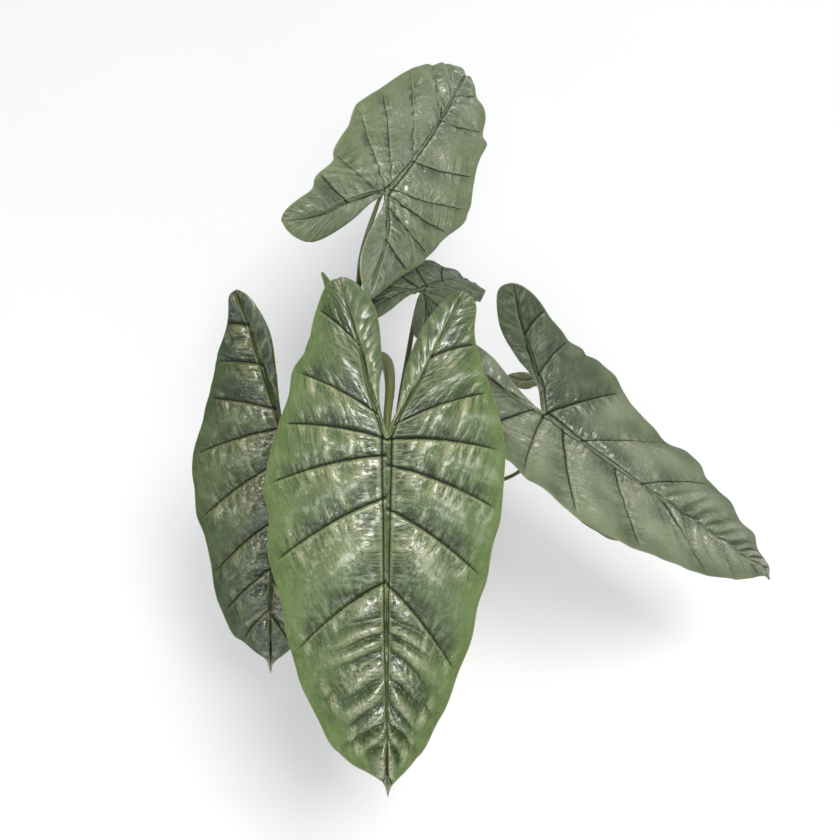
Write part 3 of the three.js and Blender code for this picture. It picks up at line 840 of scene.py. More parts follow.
@dataclass(frozen=True)
class HalfOutline:
    """Flat shape of one half of a blade, in leaf coordinates.

    A vein is a pair: its start on the rib and its end on the margin, both along;
    a start below 0 is on the basal rib.
    """

    margin: Table
    sinus: Table
    rib: Table
    veins: Table


@dataclass(frozen=True)
class LeafShape:
    """Where one leaf is and how its blade and stalk run, as in the CAD part."""

    name: str
    joint: Place
    length: float
    heading: Table
    pitch: Table
    roll: Table
    left: HalfOutline
    right: HalfOutline
    stalk_radii: tuple[float, ...]
    stalk_route: tuple[Place, ...]
    left_lift: float = 0.0
    right_lift: float = 0.0
    mesh_step: float = 1.5
    seed: int = 1
    quilt: float = 3.4
    puckers: float = 1.0
    ladder: float = 2.4
    ladder_pitch: float = 15
    ladder_lean: float = 0.45
    gloss_reach: float = 38
    ladder_reach: float = 30
    vein_end: float = 1.2
    # Painted sheen on each half by distance along: a paler tint standing in for light on the leaf
    bloom_left: Table = ((0, 0.5),)
    bloom_right: Table = ((0, 0.5),)


# How far vein lines bow towards the stalk, as a share of their reach: at the joint, and more to the tip
BOW_AT_JOINT, BOW_TO_TIP = 0.08, 0.16


class HalfBlade:
    """Sampled lines of one half of a blade and the vein lines that cross it.

    A place in the half is (s, w): s counts vein lines from the lobe's end to the
    tip, with veins at whole numbers, and w is the share from rib to margin.
    """

    def __init__(self, outline: HalfOutline, length: float) -> None:
        """Read an outline.

        Args:
            outline: The half's flat shape.
            length: Blade's length from joint to tip.
        """
        self.length = length
        self.margin = smooth_line(outline.margin, outline.sinus[1])
        self.sinus = smooth_line(outline.sinus, outline.margin[1])
        self.rib = smooth_line(outline.rib)
        self.rib_length = float(steps_of(self.rib).sum())
        self.starts = np.array([-self.rib_length, *(v[0] for v in outline.veins), length])
        self.shares = np.array([0.0, *(self.share_where(v[1]) for v in outline.veins), 1.0])
        self.lines = np.arange(len(self.starts))
        self.joint = int(np.flatnonzero(self.starts == 0)[0])

    def share_where(self, along: float) -> float:
        """Return the share of the margin line at which it first reaches a place along.

        Args:
            along: The place, along.

        Returns:
            Share of the line, 0 to 1.
        """
        x = self.margin[:, 0]
        for i in range(1, len(x)):
            if x[i] >= along and x[i] > x[i - 1]:
                return (i - 1 + max((along - x[i - 1]) / (x[i] - x[i - 1]), 0)) / (len(x) - 1)
        return 1.0

    def rib_start(self, s: np.ndarray) -> np.ndarray:
        """Return where on the rib the vein line s starts."""
        return np.interp(s, self.lines, self.starts)

    def rib_point(self, start: np.ndarray) -> np.ndarray:
        """Return the leaf coordinates of a place on the rib.

        Args:
            start: Distances on the rib, below 0 on the basal rib.

        Returns:
            Leaf coordinates, along and across.
        """
        basal = line_at(self.rib, -start / self.rib_length)
        ahead = np.stack([start, np.zeros_like(start)], -1)
        return np.where((start < 0)[..., None], basal, ahead)

    def outer(self, s: np.ndarray, w: np.ndarray) -> np.ndarray:
        """Return leaf coordinates between rib and margin; vein lines bow to the stalk.

        Args:
            s: Vein line numbers.
            w: Shares from rib to margin, in the same shape.

        Returns:
            Leaf coordinates, along and across.
        """
        start = self.rib_start(s)
        rib = self.rib_point(start)
        edge = line_at(self.margin, np.interp(s, self.lines, self.shares))
        reach = np.linalg.norm(edge - rib, axis=-1)
        bend = (rib + edge) / 2
        bend[..., 0] -= (BOW_AT_JOINT + BOW_TO_TIP * np.maximum(start, 0) / self.length) * reach
        w = w[..., None]
        return rib * (1 - w) ** 2 + bend * 2 * w * (1 - w) + edge * w * w

    def inner(self, s: np.ndarray, w: np.ndarray) -> np.ndarray:
        """Return leaf coordinates between basal rib and sinus margin.

        Args:
            s: Vein line numbers.
            w: Shares from rib to sinus margin.

        Returns:
            Leaf coordinates, along and across.
        """
        start = self.rib_start(s)
        rib = self.rib_point(start)
        edge = line_at(self.sinus, 1 + start / self.rib_length)
        return rib + (edge - rib) * w[..., None]

    def margin_run(self, s0: float, s1: float) -> float:
        """Return the length of the margin between two vein lines."""
        run = line_at(self.margin, np.linspace(*np.interp([s0, s1], self.lines, self.shares), 9))
        return float(steps_of(run).sum())


# Length of a typical blade from joint to tip, and what the values are at a lobe's end where not 0
TYPICAL_LENGTH = 233
LOBE_END = {"rim": 1.0, "out": 1.0, "painted_lighting": 0.5}


@dataclass
class BladeMaker:
    """Builds the fine mesh of one blade over the same curved surface as the CAD part."""

    shape: LeafShape
    fold: float = 8
    arch: float = 0.003
    half_thickness: float = 0.45
    edge_thickness: float = 0.3
    groove: float = 1.1
    keel: float = 2.6
    keel_half_width: float = 3.2
    vein_half_width: float = 1.4
    vein_depth: float = 1.25
    vein_keel: float = 0.55
    shoulder: float = 0.3
    rim_width: float = 0.9
    ruffle: float = 1.7
    inner_crown: float = 1.3
    row_span: float = 62
    row_crowding: float = 1.22
    back: float = 130
    step: float = 2

    def __post_init__(self) -> None:
        """Trace the midrib in space and read both halves."""
        count = int((self.shape.length + 20) / self.step) + 1
        ahead = np.arange(count) * self.step + self.step / 2
        behind = -np.arange(self.back / self.step) * self.step - self.step / 2
        joint = np.array([self.shape.joint], float)
        forward = joint + np.cumsum(self.axes(ahead)[0] * self.step, axis=0)
        backward = joint - np.cumsum(self.axes(behind)[0] * self.step, axis=0)
        self.spine = np.vstack([backward[::-1], joint, forward])
        self.spine_along = -self.back + self.step * np.arange(len(self.spine))
        self.halves = {
            side: HalfBlade(outline, self.shape.length)
            for side, outline in ((1, self.shape.left), (-1, self.shape.right))}
        self.folds = Waves(self.shape.seed, 8, 15, 18)
        self.rungs = Waves(self.shape.seed + 20, 6, 13, 18)
        self.dimples = Waves(self.shape.seed + 50, 8, 20)
        self.swells = Waves(self.shape.seed + 90, 24, 60)

    def axes(self, along: np.ndarray) -> tuple[np.ndarray, np.ndarray, np.ndarray]:
        """Return the forward, left and upward directions at places along the blade.

        Args:
            along: The places.

        Returns:
            Three arrays of unit vectors.
        """
        heading, pitch, roll = (
            np.radians(np.interp(along, *np.array(table, float).T))
            for table in (self.shape.heading, self.shape.pitch, self.shape.roll))
        forward = np.stack([
            np.cos(pitch) * np.cos(heading), np.cos(pitch) * np.sin(heading), -np.sin(pitch)], -1)
        level = np.stack([-np.sin(heading), np.cos(heading), np.zeros_like(heading)], -1)
        upright = np.cross(forward, level)
        cos, sin = np.cos(roll)[..., None], np.sin(roll)[..., None]
        return forward, level * cos + upright * sin, upright * cos - level * sin

    def put(self, along: np.ndarray, across: np.ndarray, lift: np.ndarray | float = 0.0) -> np.ndarray:
        """Turn leaf coordinates into places.

        Args:
            along: Distances along.
            across: Signed distances across.
            lift: Height off the sheet.

        Returns:
            Places in the plant's frame, in mm.
        """
        base = np.stack([np.interp(along, self.spine_along, self.spine[:, k]) for k in range(3)], -1)
        _, left, up = self.axes(along)
        fold = math.radians(self.fold)
        width = np.abs(across)
        out = (math.sin(fold) - np.sin(fold - self.arch * width)) / self.arch
        rise = (np.cos(fold - self.arch * width) - math.cos(fold)) / self.arch
        lobe_lift = np.where(across > 0, self.shape.left_lift, self.shape.right_lift)
        rise = rise + np.where(along < 0, lobe_lift * (along / 100) ** 2, 0)
        return base + (np.sign(across) * out)[..., None] * left + (rise + lift)[..., None] * up

    @staticmethod
    def rib_share(start: np.ndarray, half: HalfBlade) -> np.ndarray:
        """Return how far out on its rib a place is, 0 at the joint and 1 at the end."""
        return np.where(start < 0, -start / half.rib_length, start / half.length)

    def rib_half_width(self, start: np.ndarray, half: HalfBlade) -> np.ndarray:
        """Return half the width of the groove that a rib lies in."""
        widest = np.where(start < 0, 2.2, 3.1) * (self.shape.length / TYPICAL_LENGTH) ** 0.5
        return widest * (1 - np.clip(self.rib_share(start, half), 0, 1)) ** 0.7 + 0.45

    def ridge(self, run: np.ndarray, start: np.ndarray, half: HalfBlade) -> np.ndarray:
        """Return how far a rib stands out below the sheet at a distance from its middle.

        Args:
            run: Distances from the rib's middle.
            start: Places on the rib.
            half: The half.

        Returns:
            Depths below the sheet in mm.
        """
        height = self.keel * (1 - self.rib_share(start, half)) ** 0.8
        height = height * np.minimum(1, 0.25 + np.abs(start) / 30)
        return np.sqrt(np.maximum(0, 1 - (run / self.keel_half_width) ** 2)) * height

    @staticmethod
    def rib_marks(u: np.ndarray) -> tuple[np.ndarray, np.ndarray, np.ndarray]:
        """Return groove depth, painted shade lines along the groove and a painted highlight edge beside it at
        u half widths from a rib's middle.
        """
        line = bell(u, 0.92, 0.3)
        return line + 0.5 * bell(u, 0, 0.62, 4), line + 0.25 * bell(u, 0, 0.7, 4), bell(u, 1.6, 0.3)

    def bloom(self, here: np.ndarray, half: HalfBlade) -> np.ndarray:
        """Return how strongly the painted sheen, a paler tint standing in for light on the leaf, lies on
        places of one half, 0 to 1.

        Args:
            here: Leaf coordinates.
            half: The half.

        Returns:
            Strengths of the painted sheen.
        """
        table = self.shape.bloom_left if half is self.halves[1] else self.shape.bloom_right
        patches = 0.16 * self.swells.at(here[..., 0], 1.3 * here[..., 1])
        return np.clip(np.interp(here[..., 0], *np.array(table, float).T) + patches, 0, 1)

    def outer_relief(self, half: HalfBlade, s: np.ndarray, w: np.ndarray) -> dict[str, np.ndarray]:
        """Work out the sheet's relief and the values that its finish reads.

        Args:
            half: The half.
            s: Vein line numbers.
            w: Shares from rib to margin, in the same shape.

        Returns:
            Arrays by name: lift, under and those that the finish reads.
        """
        shape = self.shape
        last = len(half.starts) - 1
        index = np.minimum(np.floor(s).astype(int), last - 1)
        part = s - index
        spacing = half.starts[index + 1] - half.starts[index]
        gap = np.linalg.norm(half.outer(index + 1, w) - half.outer(index, w), axis=-1)
        away = np.minimum(part, 1 - part) * gap
        nearest = index + (part > 0.5)
        here, start = half.outer(s, w), half.rib_start(s)
        reach = np.linalg.norm(half.outer(s, np.ones_like(w)) - half.outer(s, np.zeros_like(w)), axis=-1)
        run = w * reach

        # Large forms: swells between the veins, waves of the margin, folds beside the front of the midrib
        height = shape.quilt * np.minimum(1, np.maximum(spacing, 24) / 42)
        wave = np.sin(math.pi * part)
        across = np.sin(math.pi * w ** 0.7)
        swell = height * (0.45 * wave ** 2 + 0.55 * np.abs(wave)) * across
        ruffle = -self.ruffle * np.cos(2 * math.pi * s) * w ** 3
        ahead = np.clip((start - 0.34 * half.length) / (0.12 * half.length), 0, 1)
        tip_fade = np.clip((half.length - start) / 30, 0, 1)
        near_rib = bell(run, 0, shape.ladder_reach, 4) * (1 - bell(run, 0, 4))
        near_rib = near_rib * np.clip((1 - w) * 2.5, 0, 1)
        level = (start + shape.ladder_lean * (here[..., 0] - start)) / shape.ladder_pitch
        ladder = np.abs(np.sin(math.pi * level + 0.35 * self.swells.at(here[..., 0], here[..., 1])))
        ladder = (ladder - 0.6) * shape.ladder * ahead * near_rib * tip_fade

        # Ribs and veins, which fade towards the margin and soften past the leaf's vein_end
        rib_width = self.rib_half_width(start, half)
        groove, rib_line, rib_edge = self.rib_marks(run / rib_width)
        vein_width = self.vein_half_width * (1 - 0.38 * w)
        fade = np.clip((0.99 - w) / 0.14, 0, 1) * (0.55 + 0.45 * (1 - w))
        is_vein = (nearest > 0) & (nearest < last)
        firm = np.clip((shape.vein_end - start / half.length) / 0.08, 0.28, 1) * is_vein
        line = bell(away, 0, vein_width) * firm
        shoulder = bell(away, 2.4, 1.1) * firm
        # Painted highlight along one side of each vein
        vein_edge = bell(away / vein_width, 1.75, 0.6) * firm * fade * (part < 0.5)

        # Fine puckers: barbs that lean off the veins, rungs beside the ribs, and dimples
        inside = np.clip((1 - w) * 5, 0, 1)
        beside_vein = bell(away, 4.5, 6.5) * (1 - bell(away, 0, 1.3))
        beside_rib = np.exp(-run / 15) * (1 - bell(run, 0, 3.5))
        down_rib = np.where(start < 0, start, here[..., 0])
        folds = np.abs(self.folds.at(run + 0.4 * start, 0.2 * away)) - 0.75
        rungs = np.abs(self.rungs.at(down_rib, 0.25 * run)) - 0.75
        fine = (folds * beside_vein * (1 - 0.7 * beside_rib) + rungs * beside_rib) * 0.75 * inside
        fine = fine * (1 - 0.6 * ahead * near_rib)
        dimple = self.dimples.at(here[..., 0], here[..., 1]) * 0.12 * inside
        edge_wave = self.swells.at(here[..., 0] * 1.6, here[..., 1]) * 0.55 * w ** 5
        puckers = (fine + dimple) * shape.puckers * np.minimum(1, run / 4) * tip_fade
        shine = 0.12 * (1 - w) ** 0.5 + 1.1 * np.exp(-run / shape.gloss_reach) * (1 - w) ** 0.5
        return {
            "lift": (
                swell + ruffle + ladder + edge_wave + puckers
                - self.groove * groove - self.vein_depth * line * fade + self.shoulder * shoulder * fade),
            "under": np.maximum(self.ridge(run, start, half), self.vein_keel * line * fade),
            # Dark lines of ribs and veins: painted shade in their grooves
            "vein": np.maximum(rib_line, line * np.minimum(1, fade * 2.2)),
            "rim": bell((1 - w) * reach, 0, self.rim_width),
            "out": w + 0.4 * np.clip(2 * start / half.length - 1, 0, 1),
            # Painted light and shade: lighter on ridges of the relief, darker in its hollows, lighter on each
            # panel's side towards the joint and darker towards the tip
            "painted_lighting": np.clip(
                0.43 + 0.36 * fine + 0.13 * ladder + 0.16 * swell / height
                + 0.24 * np.cos(math.pi * part) * across * (1 - ahead), 0, 1),
            "bloom": self.bloom(here, half),
            # Where the painted shade in the fine furrows and the painted highlight strokes show
            "pucker": (0.15 + 0.85 * np.exp(-away / 11)) * np.clip((1 - w) * 5, 0.35, 1),
            # Painted highlights beside ribs and veins
            "edge": np.maximum(rib_edge, vein_edge),
            "gloss": np.clip(
                (shine + 0.25 * fine + 0.08 * ladder) * (0.35 + 0.65 * np.minimum(1, run / 5)), 0, 1),
            "spine": np.clip(beside_rib * 2.2, 0, 1),
            "barbs": np.stack([run + 0.4 * start, away, 0.3 * start], -1),
            "rungs": np.stack([down_rib, run, np.zeros_like(run)], -1),
        }

    def inner_relief(self, half: HalfBlade, s: np.ndarray, w: np.ndarray) -> dict[str, np.ndarray]:
        """Work out the same for the narrow strip between basal rib and sinus margin.

        Args:
            half: The half.
            s: Vein line numbers.
            w: Shares from rib to sinus margin, in the same shape.

        Returns:
            The same arrays as for the outer part.
        """
        here, start = half.inner(s, w), half.rib_start(s)
        reach = np.linalg.norm(half.inner(s, np.ones_like(w)) - half.inner(s, np.zeros_like(w)), axis=-1)
        run = w * reach
        groove, rib_line, rib_edge = self.rib_marks(run / self.rib_half_width(start, half))
        scale = np.minimum(1, reach / 8)
        across = np.sin(math.pi * w)
        folds = np.abs(self.folds.at(0.9 * start, 0.3 * run)) - 0.75
        puckers = (self.dimples.at(here[..., 0], here[..., 1]) * 0.2 + folds * 0.4) * across * scale
        return {
            "lift": self.inner_crown * across + puckers - self.groove * groove * np.where(w > 0, scale, 1),
            "under": self.ridge(run, start, half),
            # Dark lines of the basal rib: painted shade in its groove
            "vein": rib_line * scale,
            "rim": bell((1 - w) * reach, 0, self.rim_width),
            "out": 0.3 + 0.55 * w,
            # Painted light and shade from the puckers: lighter on their ridges, darker in their hollows
            "painted_lighting": np.clip(0.5 + 0.5 * puckers, 0, 1),
            "bloom": self.bloom(here, half),
            "pucker": np.full(w.shape, 0.5),
            # Painted highlight beside the basal rib
            "edge": rib_edge * scale,
            "gloss": 0.8 - 0.3 * w,
            "spine": np.zeros(w.shape),
            "barbs": np.stack([0.9 * start, run, 0.3 * start], -1),
            "rungs": np.stack([start, run, np.zeros_like(run)], -1),
        }

    def stations(self) -> tuple[dict[int, np.ndarray], np.ndarray]:
        """Choose the vein lines at which the mesh has columns.

        Returns:
            For each side its basal stations, and the shared starts from joint to tip.
        """
        pace = self.shape.mesh_step
        basal = {}
        for side, half in self.halves.items():
            own = [0.0]
            for i in range(half.joint):
                span = max(half.starts[i + 1] - half.starts[i], half.margin_run(i, i + 1))
                count = max(2, math.ceil(span / pace))
                own.extend(i + np.arange(1, count + 1) / count)
            basal[side] = np.array(own)
        knots = np.unique(np.concatenate([h.starts[h.starts >= 0] for h in self.halves.values()]))
        shared = [0.0]
        for a, b in zip(knots, knots[1:]):
            spans = [b - a]
            for half in self.halves.values():
                spans.append(half.margin_run(*np.interp([a, b], half.starts, half.lines)))
            count = max(1, math.ceil(max(spans) / pace))
            shared.extend(a + (b - a) * np.arange(1, count + 1) / count)
        return basal, np.array(shared)

    def skin(self) -> Skin:
        """Build the closed blade.

        Returns:
            Upper face, underside and the wall round the border as one skin.
        """
        places: list[np.ndarray] = []
        values: dict[str, list[np.ndarray]] = {}
        faces: list[np.ndarray] = []
        total = 0

        def add(flat: np.ndarray, side: int, relief: dict[str, np.ndarray]) -> np.ndarray:
            """Add places and return their numbers in the same shape.

            Args:
                flat: Their leaf coordinates, across without its sign.
                side: 1 on the left half, -1 on the right.
                relief: Their relief and values.

            Returns:
                Their numbers.
            """
            nonlocal total
            across = side * flat[..., 1]
            places.append(self.put(flat[..., 0], across, relief["lift"]).reshape(-1, 3))
            spot = np.stack([flat[..., 0], across, np.zeros_like(across)], -1)
            for key, value in (relief | {"flat": spot}).items():
                wide = value.ndim > across.ndim
                values.setdefault(key, []).append(value.reshape(-1, 3) if wide else value.ravel())
            count = across.size
            total += count
            return np.arange(total - count, total).reshape(across.shape)

        basal, shared = self.stations()
        first = self.halves[1]
        s_shared = np.interp(shared, first.starts, first.lines)
        middle = self.outer_relief(first, s_shared, np.zeros_like(s_shared))
        middle["lift"][-1] = 0
        rib_index = add(np.stack([shared, np.zeros_like(shared)], -1), 1, middle)

        rows = max(16, int(self.row_span / self.shape.mesh_step))
        w_outer = (np.arange(rows + 1) / rows) ** self.row_crowding
        w_inner = np.linspace(0, 1, max(7, rows // 5))
        for side, half in self.halves.items():
            joint = len(basal[side]) - 1
            s_all = np.concatenate([basal[side], np.interp(shared[1:], half.starts, half.lines)])
            lobe_end = add(half.margin[:1], side, {
                key: np.full((1, *value.shape[1:]), LOBE_END.get(key, 0.0))
                for key, value in middle.items()})[0]
            s, w = np.meshgrid(s_all[1:-1], w_outer, indexing="ij")
            index = np.full((len(s_all), len(w_outer)), lobe_end)
            own = add(half.outer(s, w), side, self.outer_relief(half, s, w))
            index[1:-1] = own
            index[joint:, 0] = rib_index
            index[-1] = rib_index[-1]
            found = grid_faces(index)
            faces.append(found if side > 0 else found[:, ::-1])

            s, w = np.meshgrid(basal[side][1:-1], w_inner[1:], indexing="ij")
            inner = np.full((joint + 1, len(w_inner)), lobe_end)
            inner[1:-1, 1:] = add(half.inner(s, w), side, self.inner_relief(half, s, w))
            inner[:, 0] = index[: joint + 1, 0]
            inner[joint] = rib_index[0]
            found = grid_faces(inner)
            faces.append(found[:, ::-1] if side > 0 else found)

        sheet = np.concatenate(faces)
        used = np.unique(sheet)
        renumber = np.full(total, -1)
        renumber[used] = np.arange(len(used))
        kept = {key: np.concatenate(value)[used] for key, value in values.items()}
        return self.thicken(np.vstack(places)[used], renumber[sheet], kept)

    def thicken(self, places: np.ndarray, sheet: np.ndarray, values: dict[str, np.ndarray]) -> Skin:
        """Give the sheet its thickness.

        Args:
            places: Places of the sheet.
            sheet: Its triangles.
            values: Values at its vertices.

        Returns:
            The closed skin.
        """
        normals = face_normals(places, sheet)
        half = self.half_thickness + (self.edge_thickness - self.half_thickness) * values["rim"]
        top = places + normals * half[:, None]
        bottom = places - normals * (half + values["under"])[:, None]
        count = len(places)
        rim = border_edges(sheet, count)
        a, b = rim[:, 0], rim[:, 1]
        walls = np.concatenate([
            np.stack([a, a + count, b + count], -1), np.stack([a, b + count, b], -1)])
        both = {
            key: np.concatenate([value, value])
            for key, value in values.items() if key not in ("lift", "under")}
        both["upper"] = np.concatenate([np.ones(count), np.zeros(count)])
        return Skin(
            np.vstack([top, bottom]),
            np.concatenate([sheet, sheet[:, ::-1] + count, walls]),
            both)


def tube_skin(route: np.ndarray, radius: np.ndarray, sides: int) -> Skin:
    """Build a closed tube.

    Args:
        route: Middle line, one row a station.
        radius: Radius at every station and side.
        sides: Sides of the round.

    Returns:
        Skin with the values around (position round and along it) and share.
    """
    tangent = np.gradient(route, axis=0)
    tangent /= np.linalg.norm(tangent, axis=1, keepdims=True)
    across = np.cross(tangent[0], [0.0, 0.0, 1.0] if abs(tangent[0][2]) < 0.9 else [0.0, -1.0, 0.0])
    rings = []
    angle = angles_round(sides)
    for i, ahead in enumerate(tangent):
        across = across - ahead * np.dot(across, ahead)
        across /= np.linalg.norm(across)
        other = np.cross(ahead, across)
        ring = np.cos(angle)[:, None] * across + np.sin(angle)[:, None] * other
        rings.append(route[i] + ring * radius[i][:, None])
    stations = len(route)
    run = run_of(route)
    places = np.vstack([*rings, route[:1], route[-1:]])
    index = np.arange(stations * sides).reshape(stations, sides)
    index = np.vstack([np.full(sides, len(places) - 2), index, np.full(sides, len(places) - 1)])
    index = np.hstack([index, index[:, :1]])
    around = np.stack(np.broadcast_arrays(
        3 * np.cos(angle)[None], 3 * np.sin(angle)[None], run[:, None]), -1).reshape(-1, 3)
    share = np.repeat(run / run[-1], sides)
    return Skin(places, grid_faces(index)[:, ::-1], {
        "around": np.vstack([around, [0, 0, 0], [0, 0, run[-1]]]),
        "share": np.concatenate([share, [0, 1]])})


@dataclass
class Leaf:
    """One leaf: its quilted blade and the stalk that carries it."""

    shape: LeafShape
    finish: BladeFinish
    sides: int = 24
    stations: int = 110
    under_blade: Table = ((0, 4.4), (9, 3.4))
    tip_share: float = 0.55
    sheath_share: float = 0.34
    sheath_edges: tuple[float, float] = (1.05, 2.1)
    sheath_hollow: float = 1.57
    end_round: float = 0.015
    elbow_at: float = 0.86
    elbow_wrinkles: bool = False

    def stalk_skin(self, maker: BladeMaker) -> Skin:
        """Build the stalk from the crown to under the blade.

        Args:
            maker: Maker of the blade, which knows where the sheet is.

        Returns:
            The closed stalk.
        """
        ends = [maker.put(np.array(float(along)), np.array(0.0), np.array(-depth))
                for along, depth in self.under_blade]
        route = rod_line(np.vstack([np.array(self.shape.stalk_route, float), *ends]), self.stations)
        radii = [*self.shape.stalk_radii, self.shape.stalk_radii[-1] * self.tip_share]
        share = np.linspace(0, 1, self.stations)[:, None]
        radius = np.interp(share, np.linspace(0, 1, len(radii)), radii)
        angle = angles_round(self.sides)[None]
        sheath = np.clip(1 - share / self.sheath_share, 0, 1) ** 0.8
        flange = sum(bell(angle, middle, 0.16) for middle in self.sheath_edges)
        hollow = bell(angle, self.sheath_hollow, 0.3)
        ribs = 0.012 * np.sin(9 * angle + 2 * share)
        radius = radius * (1 + sheath * (0.2 * flange - 0.16 * hollow) + ribs)
        if self.elbow_wrinkles:
            inside = bell(share, self.elbow_at, 0.05) * np.clip(np.cos(angle - 0.4), 0, 1)
            radius = radius * (1 + 0.05 * inside * np.sin(share * 420))
        near_end = np.clip((share - 1 + self.end_round) / self.end_round, 0, 1)
        radius = radius * (1 - 0.75 * near_end ** 2)
        return tube_skin(route, radius, self.sides)

    def build(self, blade_tissue: bpy.types.NodeTree, streaks: bpy.types.Material) -> None:
        """Build and dress both pieces.

        Args:
            blade_tissue: Node group of the blades.
            streaks: Finish of the stalk.
        """
        maker, name = BladeMaker(self.shape), self.shape.name
        blade = maker.skin().to_object(f"{name}_leaf_blade", self.finish.material(blade_tissue))
        place_piece(blade, f"leaf_{name}_blade")
        stalk = self.stalk_skin(maker).to_object(f"{name}_leaf_stalk", streaks)
        place_piece(stalk, f"leaf_{name}_stalk")


@dataclass
class NewLeafSpear:
    """Young leaf, still rolled into a pointed spear."""

    route: tuple[Place, ...] = (
        (0, 0, 107), (-6, 15, 145), (-20, 47, 205), (-31, 67, 275), (-37, 73, 312), (-40, 72, 328))
    radii: tuple[float, ...] = (3.2, 3.3, 3.4, 3.6, 3.8, 4, 4.1, 4.2, 4.3, 4, 1)
    sides: int = 48
    stations: int = 130
    wrap_step: float = 0.16
    rolled_from: float = 0.25
    turns: float = 0.7

    def build(self, finish: bpy.types.Material) -> None:
        """Build and dress the spear.

        Args:
            finish: Its material.
        """
        route = rod_line(np.array(self.route, float), self.stations)
        share = np.linspace(0, 1, self.stations)[:, None]
        radius = np.interp(share, np.linspace(0, 1, len(self.radii)), self.radii)
        angle = angles_round(self.sides)[None]
        rolled = np.clip((share - self.rolled_from) / 0.12, 0, 1)
        around = (angle / (2 * math.pi) + self.turns * share) % 1.0
        radius = radius * (1 + rolled * self.wrap_step * (around - 0.5) + 0.012 * np.sin(11 * angle))
        skin = tube_skin(route, radius, self.sides)
        place_piece(skin.to_object("new_leaf_spear_rolled", finish), "new_leaf_spear")


@dataclass
class Crown:
    """Short stem ringed by the scars of old leaf sheaths."""

    radius: float = 17.5
    neck_radius: float = 15.5
    bottom: float = 80
    top: float = 117
    soil: float = 98
    rings: int = 120
    segments: int = 120
    scar_pitch: float = 4.6

    def build(self, finish: bpy.types.Material) -> None:
        """Build and dress the crown.

        Args:
            finish: Its material.
        """
        corners = (
            (0, self.bottom), (self.radius - 4, self.bottom), (self.radius, self.bottom + 6),
            (self.radius, self.soil), (self.neck_radius + 1, self.soil + 6),
            (self.neck_radius, self.top - 3), (self.neck_radius - 3, self.top), (0, self.top - 2))
        skin = turned_skin(spaced(rounded(corners, 3, 5), self.rings), self.segments)
        x, y, z = skin.places.T
        radius, angle = np.hypot(x, y), np.arctan2(y, x)
        waves = Waves(11, 5, 14)
        level = z + 1.6 * np.sin(angle * 2 + 0.6) + 0.6 * waves.at(angle * 9, z)
        scar = (level / self.scar_pitch) % 1.0
        flap = (scar ** 3) * 1.1 - 0.5 + 0.25 * waves.at(angle * 16, z * 0.4)
        side = np.clip((radius - 8) / 6, 0, 1) * np.clip((z - self.bottom - 4) / 6, 0, 1)
        grown = (radius + flap * side) / np.maximum(radius, 1e-6)
        on_top = np.clip((z - self.top + 5) / 4, 0, 1) * np.clip(radius / 4, 0, 1)
        bumps = 0.7 * Waves(12, 4, 9).at(x, y) * on_top
        skin.places = np.stack([x * grown, y * grown, z + np.minimum(bumps, 0.8)], -1)
        place_piece(skin.to_object("crown_stem", finish), "crown")


def angular_bit(size: np.ndarray, corners: int, draw: np.random.Generator) -> Skin:
    """Make one angular closed bit.

    Args:
        size: Half its length, width and height.
        corners: Points that its hull is drawn round.
        draw: Source of chance.

    Returns:
        The bit, centred on the origin.
    """
    points = draw.normal(size=(corners, 3))
    points = points / np.linalg.norm(points, axis=1, keepdims=True)
    points = points * draw.uniform(0.8, 1, (corners, 1)) * size
    body = bmesh.new()
    for point in points:
        body.verts.new(point)
    made = bmesh.ops.convex_hull(body, input=body.verts)
    loose = [v for v in made["geom_interior"] + made["geom_unused"] if isinstance(v, bmesh.types.BMVert)]
    bmesh.ops.delete(body, geom=list(set(loose)), context="VERTS")
    bmesh.ops.triangulate(body, faces=body.faces)
    body.verts.index_update()
    places = np.array([v.co for v in body.verts])
    faces = np.array([[v.index for v in face.verts] for face in body.faces])
    body.free()
    return Skin(places, faces)


